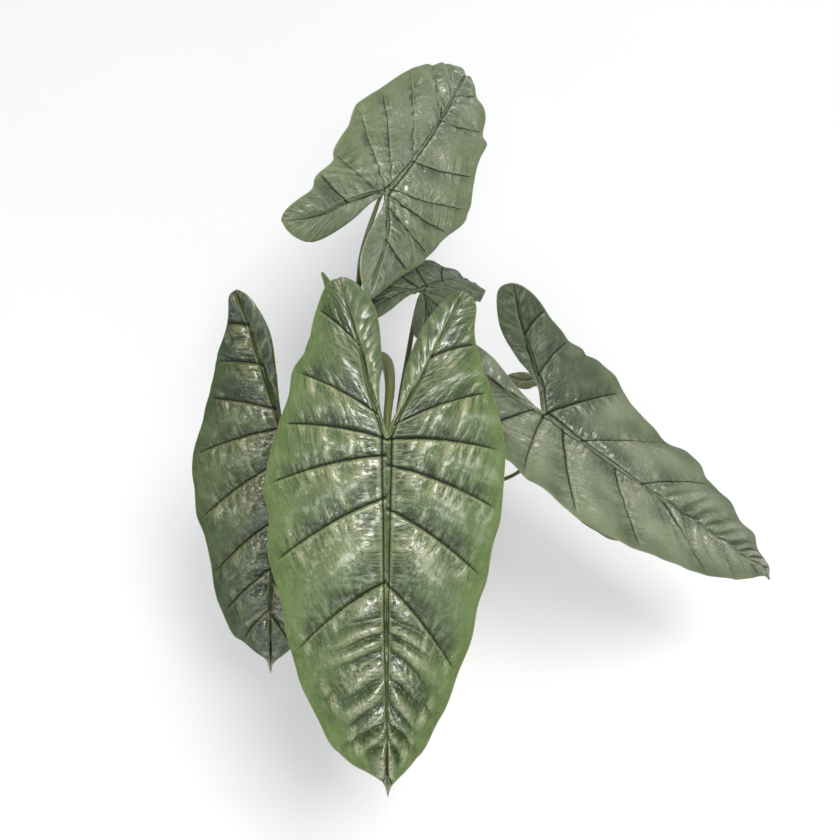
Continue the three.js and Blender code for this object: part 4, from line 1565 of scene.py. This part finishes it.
@dataclass
class PottingMix:
    """Bed of potting mix with loose bark, pale mineral grains and coir on its top."""

    top: float = 98
    floor: float = 4.1
    floor_radius: float = 40.7
    top_radius: float = 53.8
    shoulder: float = 92
    hole: float = 18
    hole_bottom: float = 79.7
    lump: float = 1.5
    mound: Table = ((18, 0), (29, 1), (38, 0.6), (47, 0), (54, -0.9))
    rings: int = 34
    segments: int = 150
    chips: int = 300
    grains: int = 190
    fibres: int = 80
    fibre_radius: float = 0.22
    fibre_points: int = 8
    fibre_sides: int = 5
    tilt: float = 0.22
    seed: int = 5

    def surface(self, x: np.ndarray, y: np.ndarray) -> np.ndarray:
        """Return the height of the bed's top at places x, y.

        Args:
            x: Places in one direction.
            y: Places in the other.

        Returns:
            Heights in mm.
        """
        lump = np.sin(x * 0.41 + 1.3) * np.cos(y * 0.37) + 0.6 * np.sin(x * 0.19 - y * 0.53)
        mound = np.interp(np.hypot(x, y), *np.array(self.mound, float).T)
        return self.top + mound + self.lump * lump

    def bed(self) -> Skin:
        """Return the closed bed with a rough top and a hole for the crown.

        Returns:
            The skin.
        """
        wall = [(0, self.floor), (self.floor_radius, self.floor), (self.top_radius, self.shoulder),
                (self.top_radius - 0.2, self.top - 1)]
        across = [(r, self.top) for r in np.linspace(self.top_radius - 0.8, self.hole, self.rings)]
        hole = [(self.hole, self.hole_bottom), (0, self.hole_bottom)]
        skin = turned_skin(np.array([*wall, *across, *hole], float), self.segments)
        x, y, z = skin.places.T
        on_top = (z > self.top - 0.5) & (np.hypot(x, y) > self.hole + 0.2)
        rough = 0.55 * Waves(21, 3, 8, 24).at(x, y) + 0.3 * Waves(22, 1.6, 3, 24).at(x, y)
        skin.places[:, 2] = np.where(on_top, self.surface(x, y) + rough - 0.4, z)
        return skin

    def spots(self, count: int, draw: np.random.Generator) -> list[tuple[float, float]]:
        """Draw places on the bed's top, between the crown and the pot's wall.

        Args:
            count: Number of places.
            draw: Source of chance.

        Returns:
            Pairs of x and y.
        """
        radius = np.sqrt(draw.uniform((self.hole + 2.5) ** 2, (self.top_radius - 3.2) ** 2, count))
        angle = draw.uniform(0, 2 * math.pi, count)
        return list(zip(radius * np.cos(angle), radius * np.sin(angle)))

    def scatter(self, count: int, sizes: tuple[Place, Place], corners: int, sink: float,
                draw: np.random.Generator) -> Skin:
        """Strew angular bits over the bed.

        Args:
            count: Number of bits.
            sizes: Smallest and largest half sizes.
            corners: Points of a bit's hull.
            sink: How deep its middle lies, as a share of its half height.
            draw: Source of chance.

        Returns:
            All bits as one skin.
        """
        bits = []
        for x, y in self.spots(count, draw):
            size = draw.uniform(*np.array(sizes))
            bit = angular_bit(size, corners, draw)
            turn = (Matrix.Rotation(draw.uniform(0, 2 * math.pi), 3, "Z")
                    @ Matrix.Rotation(draw.normal(0, self.tilt), 3, "X")
                    @ Matrix.Rotation(draw.normal(0, self.tilt), 3, "Y"))
            height = self.surface(np.array(x), np.array(y)) + size[2] * (0.55 - sink)
            bit.places = bit.places @ np.array(turn).T + [x, y, float(height)]
            bits.append(bit)
        return reduce(Skin.join, bits)

    def coir(self, draw: np.random.Generator) -> Skin:
        """Return thin curved fibres that lie on the bed.

        Args:
            draw: Source of chance.

        Returns:
            All fibres as one skin.
        """
        strands = []
        for x, y in self.spots(self.fibres, draw):
            turn, length, curl = draw.uniform(0, 2 * math.pi), draw.uniform(6, 15), draw.normal(0, 0.08)
            t = np.linspace(-0.5, 0.5, self.fibre_points) * length
            way = turn + curl * t
            px, py = x + t * np.cos(way), y + t * np.sin(way)
            far = np.maximum(np.hypot(px, py) / (self.top_radius - 1.5), 1)
            near = np.maximum((self.hole + 1.5) / np.hypot(px, py), 1)
            px, py = px / far * near, py / far * near
            route = np.stack([px, py, self.surface(px, py) + 0.7 + 0.5 * np.sin(t)], -1)
            radius = np.full((self.fibre_points, self.fibre_sides), self.fibre_radius)
            fibre = tube_skin(route, radius, self.fibre_sides)
            fibre.values = {}
            strands.append(fibre)
        return reduce(Skin.join, strands)

    def build(self, finishes: dict[str, bpy.types.Material]) -> None:
        """Build and dress the bed and what lies loose on it.

        Args:
            finishes: Materials by the names bed, bark, grain and coir.
        """
        draw = np.random.default_rng(self.seed)
        chips = self.scatter(self.chips, ((2.2, 1.2, 0.6), (5.2, 2.8, 1.5)), 13, 0.2, draw)
        grains = self.scatter(self.grains, ((0.7, 0.6, 0.5), (1.7, 1.5, 1.2)), 16, 0.1, draw)
        for name, skin, finish, sharp in (
                ("potting_mix_bed", self.bed(), "bed", 180), ("bark_chips", chips, "bark", 28),
                ("pale_mineral_grains", grains, "grain", 50), ("coir_fibres", self.coir(draw), "coir", 180)):
            place_piece(skin.to_object(name, finishes[finish], sharp), "potting_mix")


@dataclass
class NurseryPot:
    """Plain round pot with a turned-down rim band and drain holes in its foot."""

    height: float = 108
    rim_radius: float = 60
    band_radius: float = 58.6
    band_height: float = 14
    neck_radius: float = 56.4
    foot_radius: float = 43
    wall: float = 1.6
    floor: float = 2.4
    recess_inner: float = 13
    recess_outer: float = 36
    recess_depth: float = 1.4
    drain_count: int = 6
    drain_radius: float = 4.2
    drain_circle: float = 25
    corner: float = 0.9
    segments: int = 160
    sharp: float = 40

    def build(self, finish: bpy.types.Material) -> None:
        """Build and dress the pot.

        Args:
            finish: Its material.
        """
        inside = self.wall
        neck, low = self.height - self.band_height, self.recess_depth + self.floor
        profile = (
            (0, 0), (self.recess_inner, 0), (self.recess_inner + 1, self.recess_depth),
            (self.recess_outer - 1, self.recess_depth), (self.recess_outer, 0), (self.foot_radius, 0),
            (self.neck_radius, neck), (self.band_radius, neck), (self.rim_radius, self.height - 2),
            (self.rim_radius, self.height), (self.rim_radius - inside - 1, self.height),
            (self.band_radius - inside, neck + 2), (self.neck_radius - inside, neck - 2),
            (self.foot_radius - inside, low), (0, low))
        solid = turned_skin(rounded(profile, self.corner, 4), self.segments)
        body = solid.to_object("nursery_pot", finish, self.sharp)
        rods = []
        for angle in angles_round(self.drain_count):
            rod = turned_skin(np.array(
                [(0, -10), (self.drain_radius, -10), (self.drain_radius, 10), (0, 10)], float), 36)
            rod.places = rod.places + np.array([math.cos(angle), math.sin(angle), 0]) * self.drain_circle
            rods.append(rod)
        drill = reduce(Skin.join, rods).to_object("drill", finish)
        cut = body.modifiers.new("drain holes", "BOOLEAN")
        cut.operation, cut.object, cut.solver = "DIFFERENCE", drill, "EXACT"
        shaped = bpy.data.meshes.new_from_object(body.evaluated_get(bpy.context.evaluated_depsgraph_get()))
        body.modifiers.clear()
        body.data = shaped
        bpy.data.objects.remove(drill)
        body.data.set_sharp_from_angle(angle=math.radians(self.sharp))
        place_piece(body, "pot")


FRONT = LeafShape(
    name="front", joint=(5.5, -57, 330), length=233, seed=3, mesh_step=1.15, quilt=4.4,
    ladder=5.6, ladder_reach=40, vein_end=0.5,
    bloom_left=((-100, 0.3), (0, 0.5), (233, 0.2)), bloom_right=((-100, 0.4), (60, 0.6), (233, 0.3)),
    heading=((0, -90),), pitch=((-100, 10), (0, 22), (110, 35), (233, 50)), roll=((0, 0),),
    left=HalfOutline(
        margin=((-95, 49), (-85, 56), (-66, 55), (-43, 60), (-27, 66), (4, 73), (28, 72), (50, 70),
                (66, 65), (86, 62), (103, 56), (124, 52), (149, 43), (176, 33), (201, 20), (213, 12),
                (220, 5), (225, 2), (233, 0)),
        sinus=((-95, 49), (-91, 38), (-72, 23), (-45, 12), (-20, 7), (0, 0)),
        rib=((0, 0), (-15, 8), (-37, 21), (-69, 36), (-95, 49)),
        veins=((-66, -60), (-17, -29), (0, 8), (16, 45), (43, 88), (90, 147), (134, 181), (167, 206))),
    right=HalfOutline(
        margin=((-105, 31), (-97, 40), (-80, 46), (-57, 50), (-43, 59), (-26, 61), (-9, 67), (30, 76),
                (47, 72), (72, 73), (99, 65), (124, 61), (149, 54), (177, 43), (197, 32), (207, 23),
                (214, 12), (219, 5), (224, 2), (233, 0)),
        sinus=((-105, 31), (-101, 20), (-84, 8), (-57, 4), (-25, 5), (0, 0)),
        rib=((0, 0), (-27, 10), (-56, 17), (-76, 23), (-105, 31)),
        veins=((-59, -84), (-16, -43), (0, -9), (10, 29), (36, 78), (88, 134), (134, 171), (169, 202))),
    stalk_radii=(5.2, 4.6, 4.5, 4.8, 5.2, 3.3),
    stalk_route=((-2, -11, 107), (-4, -2, 150), (-9, 13, 215), (-7, 23, 270), (-1, 19, 303), (5, 2, 321),
                 (7, -20, 330), (5.5, -43, 329)))

TYPICAL = HalfOutline(
    margin=((-98, 40), (-94, 51), (-69, 54), (-43, 60), (-9, 68), (35, 74), (75, 69), (100, 61),
            (124, 54), (149, 46), (177, 34), (205, 18), (218, 4), (233, 0)),
    sinus=((-98, 40), (-90, 22), (-66, 12), (-30, 8), (0, 0)),
    rib=((0, 0), (-27, 12), (-56, 22), (-98, 40)),
    veins=((-64, -72), (-16, -38), (0, -2), (13, 40), (38, 86), (89, 143), (134, 178), (168, 204)))


def typical_half(length: float) -> HalfOutline:
    """Return the typical half blade scaled to a leaf's length.

    Args:
        length: The leaf's length from joint to tip.

    Returns:
        Its outline.
    """
    k = length / TYPICAL_LENGTH
    lines = [tuple((a * k, c * k) for a, c in line)
             for line in (TYPICAL.margin, TYPICAL.sinus, TYPICAL.rib, TYPICAL.veins)]
    return HalfOutline(*lines)


LEFT = LeafShape(
    name="left", joint=(-68, -13, 266), length=206, seed=7, mesh_step=1.4,
    quilt=5.2, puckers=1.5, gloss_reach=80,
    bloom_right=((-70, 0.1), (-20, 0.3), (10, 0.9), (70, 0.7), (120, 0.2), (206, 0.1)),
    heading=((-100, -101), (0, -101), (200, -97)), pitch=((-100, 26), (0, 50), (100, 50), (220, 67)),
    roll=((-100, 19), (0, -3), (200, -21)), right_lift=34,
    left=typical_half(206),
    right=HalfOutline(
        margin=((-87, 33), (-78, 39), (-51, 46), (-39, 50), (-28, 50), (-11, 54), (3, 55), (24, 60), (37, 60),
                (52, 57), (72, 55), (86, 48), (103, 44), (121, 41), (143, 35), (163, 26), (176, 15), (188, 4),
                (206, 0)),
        sinus=((-87, 33), (-83, 22), (-66, 11), (-42, 7), (-20, 4), (0, 0)),
        rib=((0, 0), (-23, 9), (-43, 17), (-63, 24), (-87, 33)),
        veins=((-74, -66), (-46, -39), (-13, -13), (0, 28), (25, 75), (70, 115), (108, 145), (142, 170))),
    stalk_radii=(4.6, 4.2, 3.8, 3.2),
    stalk_route=((-10.6, -3, 107), (-15, 4, 145), (-26, 12, 200), (-42, 12, 245), (-57, 3, 266)))

RIGHT = LeafShape(
    name="right", joint=(112, -2, 266), length=228, seed=13, mesh_step=1.35, quilt=3.6, puckers=1.3,
    ladder=5.0, ladder_pitch=13, ladder_lean=0.3, ladder_reach=44, gloss_reach=50, vein_end=0.55,
    bloom_left=((-60, 0.05), (15, 0.1), (40, 0.65), (228, 0.75)),
    bloom_right=((-70, 0.5), (0, 0.7), (228, 0.7)),
    heading=((-100, -89), (0, -34), (200, -13)), pitch=((-100, 29), (0, 17), (100, 28), (220, 48)),
    roll=((-100, 21), (0, -9), (200, -1)), left_lift=39, right_lift=21,
    left=HalfOutline(
        margin=((-97, 32), (-88, 39), (-60, 42), (-38, 48), (-13, 59), (11, 64), (28, 63), (44, 56), (62, 47),
                (86, 43), (109, 45), (130, 40), (157, 32), (183, 24), (206, 14), (228, 0)),
        sinus=((-97, 32), (-92, 18), (-70, 8), (-45, 9), (-27, 12), (-11, 9), (0, 0)),
        rib=((0, 0), (-14, 13), (-30, 17), (-50, 20), (-75, 24), (-97, 32)),
        veins=((-70, -72), (-34, -34), (0, 42), (31, 97), (84, 143), (130, 180), (170, 206))),
    right=HalfOutline(
        margin=((-74, 32), (-68, 40), (-52, 45), (-34, 48), (8, 53), (22, 54), (56, 54), (80, 53), (103, 46),
                (128, 42), (150, 35), (176, 25), (197, 14), (214, 4), (228, 0)),
        sinus=((-74, 32), (-70, 18), (-52, 5), (-26, 1), (0, 0)),
        rib=((0, 0), (-22, 8), (-40, 15), (-58, 24), (-74, 32)),
        veins=((-45, -50), (-7, -22), (0, 10), (16, 52), (60, 100), (104, 156), (145, 186), (182, 208))),
    stalk_radii=(4.8, 4.3, 3.8, 3.2),
    stalk_route=((11, 2, 107), (20, 7, 140), (38, 14, 182), (62, 14, 224), (88, 9, 252), (100, 5, 259)))

BACK = LeafShape(
    name="back", joint=(1, 167, 300), length=218, seed=23, mesh_step=1.35,
    quilt=3.6, puckers=1.6, gloss_reach=80,
    heading=((-100, 61), (0, 62), (200, 79)),
    pitch=((-100, 11), (0, 9), (100, 13.5), (174, 21), (192, 50), (218, 115)),
    roll=((-100, 58), (0, 49), (200, 33)), left_lift=-25, right_lift=27,
    left=HalfOutline(
        margin=((-89, 36), (-80, 43), (-60, 43), (-49, 47), (-30, 48), (-19, 54), (1, 57), (21, 61), (38, 60),
                (62, 55), (97, 48), (124, 41), (148, 31), (163, 24), (180, 17), (196, 9), (218, 0)),
        sinus=((-89, 36), (-86, 22), (-74, 10), (-45, 5), (-20, 4), (0, 0)),
        rib=((0, 0), (-12, 8), (-41, 19), (-61, 24), (-89, 36)),
        veins=((-45, -45), (-14, -24), (0, 26), (8, 68), (46, 118), (110, 154), (150, 178))),
    right=HalfOutline(
        margin=((-88, 32), (-75, 38), (-60, 43), (-26, 54), (0, 59), (14, 58), (37, 63), (60, 62), (69, 55),
                (86, 51), (105, 45), (122, 43), (134, 38), (148, 32), (163, 23), (178, 14), (194, 6),
                (218, 0)),
        sinus=((-88, 32), (-87, 20), (-70, 11), (-38, 7), (-14, 5), (0, 0)),
        rib=((0, 0), (-10, 9), (-22, 18), (-37, 25), (-65, 29), (-88, 32)),
        veins=((-50, -27), (-14, 0), (0, 28), (5, 60), (43, 88), (103, 136), (145, 172))),
    stalk_radii=(4.8, 4.2, 3.2, 2.4, 2.1),
    stalk_route=((-6.5, 9, 107), (-10, 30, 150), (-17, 66, 205), (-21, 102, 250), (-19, 112, 266),
                 (-17, 123, 279), (-13, 135, 289), (-8, 150, 295)))

SMALL = LeafShape(
    name="small", joint=(27, 108, 260), length=84, seed=31, mesh_step=1.1,
    quilt=2.8, puckers=0.9, gloss_reach=40, heading=((-55, 68), (0, 50), (60, 26), (84, 6)),
    pitch=((-55, -14), (0, 20), (42, 38), (66, 62), (84, 92)),
    roll=((-55, -18), (0, -10), (60, -16)),
    left=HalfOutline(
        margin=((-47, 25), (-44, 30), (-33, 32), (-12, 35), (14, 36), (30, 30), (43, 21), (54, 13), (65, 7),
                (75, 3), (84, 0)),
        sinus=((-47, 25), (-42, 13), (-30, 6), (-14, 3), (0, 0)),
        rib=((0, 0), (-13, 9), (-28, 16), (-47, 25)),
        veins=((-28, -34), (-6, -17), (0, 6), (8, 26), (26, 45), (46, 65))),
    right=HalfOutline(
        margin=((-50, 34), (-43, 42), (-26, 43), (-6, 42), (12, 41), (28, 37), (42, 29), (54, 20), (65, 12),
                (75, 5), (84, 0)),
        sinus=((-50, 34), (-47, 24), (-34, 16), (-16, 9), (0, 0)),
        rib=((0, 0), (-12, 13), (-27, 23), (-50, 34)),
        veins=((-30, -36), (-7, -18), (0, 6), (8, 26), (26, 45), (46, 65))),
    stalk_radii=(3.8, 3.1, 2.4, 1.9),
    stalk_route=((4.6, 10, 107), (6, 26, 145), (11, 50, 195), (17, 68, 231), (21, 84, 249), (24, 97, 256)))

LOW = LeafShape(
    name="low", joint=(130, 14, 200), length=148, seed=41, mesh_step=1.5, quilt=2.6, puckers=0.8,
    heading=((-90, -56), (0, -36), (148, -10)), pitch=((-90, 20), (0, 24), (75, 32), (148, 46)),
    roll=((-90, 8), (0, -2)),
    left=HalfOutline(
        margin=((-62, 4), (-59, 12), (-52, 20), (-43, 29), (-28, 37), (-6, 42), (20, 42), (45, 37), (70, 30),
                (98, 20), (125, 9), (148, 0)),
        sinus=((-62, 4), (-53, 3), (-45, 9), (-41, 17), (-26, 16), (-11, 8), (0, 0)),
        rib=((0, 0), (-12, 11), (-27, 22), (-43, 23), (-52, 12), (-62, 4)),
        veins=((-52, -50), (-22, -24), (0, 10), (12, 38), (38, 72), (72, 108))),
    right=HalfOutline(
        margin=((-60, 26), (-56, 32), (-40, 34), (-20, 36), (5, 38), (25, 39), (45, 43), (58, 44), (70, 40),
                (84, 33), (100, 26), (118, 17), (135, 8), (148, 0)),
        sinus=((-60, 26), (-57, 14), (-42, 8), (-20, 5), (0, 0)),
        rib=((0, 0), (-17, 8), (-36, 16), (-60, 26)),
        veins=((-38, -42), (-9, -20), (0, 10), (12, 40), (38, 72), (72, 108))),
    stalk_radii=(3.2, 2.3, 1.6, 1.4),
    stalk_route=((8, -8, 107), (16, -8, 122), (38, -3, 138), (72, -1, 154), (97, 1, 168), (114, 8, 185)))

FRONT_FINISH = BladeFinish(
    name="front leaf tissue", slot="blade_front",
    ground=from_srgb(64, 87, 40), margin=from_srgb(96, 121, 53), vein=from_srgb(12, 16, 7),
    halo=from_srgb(161, 164, 119), underside=from_srgb(126, 148, 94), sheen_tint=from_srgb(86, 107, 56),
    margin_reach=0.7, mottle=0.6, crease=0.85, glint=0.4, roughness=0.26, coat=0.9, relief=0.75)
LEFT_FINISH = BladeFinish(
    name="left leaf tissue", slot="blade_left",
    ground=from_srgb(34, 56, 16), margin=from_srgb(48, 72, 26), vein=from_srgb(10, 16, 6),
    halo=from_srgb(138, 140, 88), underside=from_srgb(104, 118, 80), sheen_tint=from_srgb(72, 88, 40),
    margin_reach=0.6, mottle=0.5, crease=0.75, glint=0.45, roughness=0.28, coat=0.8, relief=0.7)
RIGHT_FINISH = BladeFinish(
    name="right leaf tissue", slot="blade_right",
    ground=from_srgb(64, 80, 50), margin=from_srgb(96, 110, 74), vein=from_srgb(16, 22, 13),
    halo=from_srgb(154, 160, 128), underside=from_srgb(118, 132, 94), sheen_tint=from_srgb(128, 136, 107),
    margin_reach=0.5, mottle=0.5, crease=0.36, glint=0.35, roughness=0.36, coat=0.6, relief=1.0)
BACK_FINISH = BladeFinish(
    name="back leaf tissue", slot="blade_back",
    ground=from_srgb(98, 114, 75), margin=from_srgb(111, 127, 82), vein=from_srgb(17, 23, 12),
    halo=from_srgb(160, 168, 132), underside=from_srgb(124, 138, 100), sheen_tint=from_srgb(124, 134, 98),
    margin_reach=0.5, mottle=0.5, crease=0.6, glint=0.6, roughness=0.34, coat=0.9, relief=1.2)
SMALL_FINISH = BladeFinish(
    name="small leaf tissue", slot="blade_small",
    ground=from_srgb(60, 74, 44), margin=from_srgb(72, 88, 52), vein=from_srgb(15, 20, 12),
    halo=from_srgb(124, 132, 98), underside=from_srgb(104, 118, 82), sheen_tint=from_srgb(88, 98, 66),
    margin_reach=0.5, mottle=0.6, roughness=0.38, coat=0.25, relief=1.1)
LOW_FINISH = BladeFinish(
    name="low leaf tissue", slot="blade_low",
    ground=from_srgb(124, 131, 94), margin=from_srgb(124, 133, 92), vein=from_srgb(84, 90, 62),
    halo=from_srgb(150, 156, 118), underside=from_srgb(110, 122, 84), sheen_tint=from_srgb(124, 130, 96),
    margin_reach=0.5, mottle=0.6, roughness=0.36, coat=0.4, relief=0.9)

STALK_FINISH = StreakFinish(
    name="stalk skin", base=from_srgb(80, 82, 44), streak=from_srgb(50, 52, 34),
    upper_end=from_srgb(102, 106, 54), fleck=from_srgb(104, 90, 56), roughness=0.42)
SPEAR_FINISH = StreakFinish(
    name="rolled leaf skin", base=from_srgb(92, 112, 50), streak=from_srgb(70, 88, 42),
    upper_end=from_srgb(104, 122, 54), fleck=from_srgb(122, 134, 78), roughness=0.36)
CROWN_FINISH = CrumbFinish(
    "crown skin", from_srgb(58, 44, 32), from_srgb(104, 88, 60), from_srgb(146, 128, 94), 90,
    depth=0.5, roughness=0.8)
MIX_FINISHES = {
    "bed": CrumbFinish(
        "potting mix", from_srgb(30, 22, 17), from_srgb(52, 39, 29), from_srgb(84, 66, 48), 160, depth=1.2),
    "bark": CrumbFinish(
        "bark", from_srgb(54, 36, 25), from_srgb(98, 66, 43), from_srgb(140, 104, 72), 260, depth=0.5),
    "grain": CrumbFinish(
        "mineral grain", from_srgb(176, 172, 162), from_srgb(214, 210, 202), from_srgb(236, 234, 228), 400,
        depth=0.3),
    "coir": CrumbFinish(
        "coir", from_srgb(92, 64, 40), from_srgb(132, 98, 62), from_srgb(160, 128, 88), 200, depth=0.2),
}


@dataclass(frozen=True)
class SoftBox:
    """One soft studio light that points at the plant."""

    name: str
    place: Place
    width: float
    depth: float
    power: float
    tint: tuple[float, float, float] = (1.0, 0.985, 0.955)

    def build(self, aim: Vector) -> None:
        """Hang the light.

        Args:
            aim: What it points at.
        """
        data = bpy.data.lights.new(self.name, "AREA")
        data.shape, data.size, data.size_y, data.energy = "RECTANGLE", self.width, self.depth, self.power
        data.color = self.tint
        light = bpy.data.objects.new(self.name, data)
        light.visible_camera = False
        light.location = self.place
        light.rotation_euler = (aim - light.location).to_track_quat("-Z", "Y").to_euler()
        bpy.context.scene.collection.objects.link(light)


@dataclass
class Studio:
    """Pale floor, soft light and the camera of the photograph."""

    lens: float = 50
    sensor: float = 36
    camera_place: Place = (0.026, -0.408, 0.961)
    camera_elevation: float = 60
    aim: Place = (0.0, 0.0, 0.2)
    floor_size: float = 24
    floor_gap: float = 0.2
    world_color: Color = (0.918, 0.946, 1, 1)
    world_strength: float = 0.45
    lights: tuple[SoftBox, ...] = (
        SoftBox("key softbox", (0.52, -0.3, 2.3), 0.8, 0.65, 22),
        SoftBox("front softbox", (0.05, -1.4, 2.1), 0.7, 0.5, 11),
        SoftBox("front left panel", (-1.5, -2.0, 1.9), 1.0, 0.5, 4),
        SoftBox("front centre panel", (-0.3, -2.6, 1.35), 1.1, 0.5, 6),
        SoftBox("front low panel", (0.8, -2.4, 1.7), 1.2, 0.5, 7.5),
        SoftBox("back panel", (0.9, 2.4, 2.1), 1.2, 0.6, 17.5),
        SoftBox("back left panel", (-1.8, 1.9, 1.9), 0.7, 0.6, 6),
    )

    def build(self) -> None:
        """Set up floor, world, lights and camera."""
        scene = bpy.context.scene
        scene.view_settings.view_transform = "Standard"
        world = bpy.data.worlds.new("studio")
        world.use_nodes = True
        sky = world.node_tree.nodes["Background"].inputs
        sky["Color"].default_value, sky["Strength"].default_value = self.world_color, self.world_strength
        scene.world = world
        for light in self.lights:
            light.build(Vector(self.aim))
        data = bpy.data.cameras.new("photograph")
        data.lens, data.sensor_width = self.lens, self.sensor
        camera = bpy.data.objects.new("photograph", data)
        camera.location = self.camera_place
        camera.rotation_euler = (math.radians(90 - self.camera_elevation), 0, 0)
        scene.collection.objects.link(camera)
        scene.camera = camera

        shop, material, shader = open_material("studio floor")
        where = shop.node("TexCoord").outputs["Object"]
        shop.put(shader.inputs["Base Color"], shop.mix(
            shop.noise(where, 3), from_srgb(247, 247, 247), from_srgb(251, 251, 251)))
        shader.inputs["Roughness"].default_value = 0.9
        shader.inputs["Specular IOR Level"].default_value = 0.1
        half = self.floor_size / 2 / MM
        corners = [(x * half, y * half, -self.floor_gap) for x, y in ((-1, -1), (1, -1), (1, 1), (-1, 1))]
        plane = Skin(np.array(corners), np.array([(0, 1, 2), (0, 2, 3)]))
        plane.to_object("studio_floor", material)


def write_sizes() -> None:
    """Update the view layer."""
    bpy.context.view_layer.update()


def main() -> None:
    """Build the studio, the pot and the plant."""
    logging.basicConfig(level=logging.INFO, format="%(name)s: %(message)s")
    Studio().build()
    crumbs, tissue, streaks = crumb_group(), blade_group(), streak_group()
    NurseryPot().build(MouldedPlastic().material())
    PottingMix().build({key: finish.material(crumbs) for key, finish in MIX_FINISHES.items()})
    Crown().build(CROWN_FINISH.material(crumbs))
    NewLeafSpear().build(SPEAR_FINISH.material(streaks))
    stalk_skin = STALK_FINISH.material(streaks)
    for shape, finish in ((FRONT, FRONT_FINISH), (LEFT, LEFT_FINISH), (RIGHT, RIGHT_FINISH),
                          (BACK, BACK_FINISH), (SMALL, SMALL_FINISH), (LOW, LOW_FINISH)):
        Leaf(shape, finish, elbow_wrinkles=shape is FRONT).build(tissue, stalk_skin)
    write_sizes()


if __name__ == "__main__":
    main()
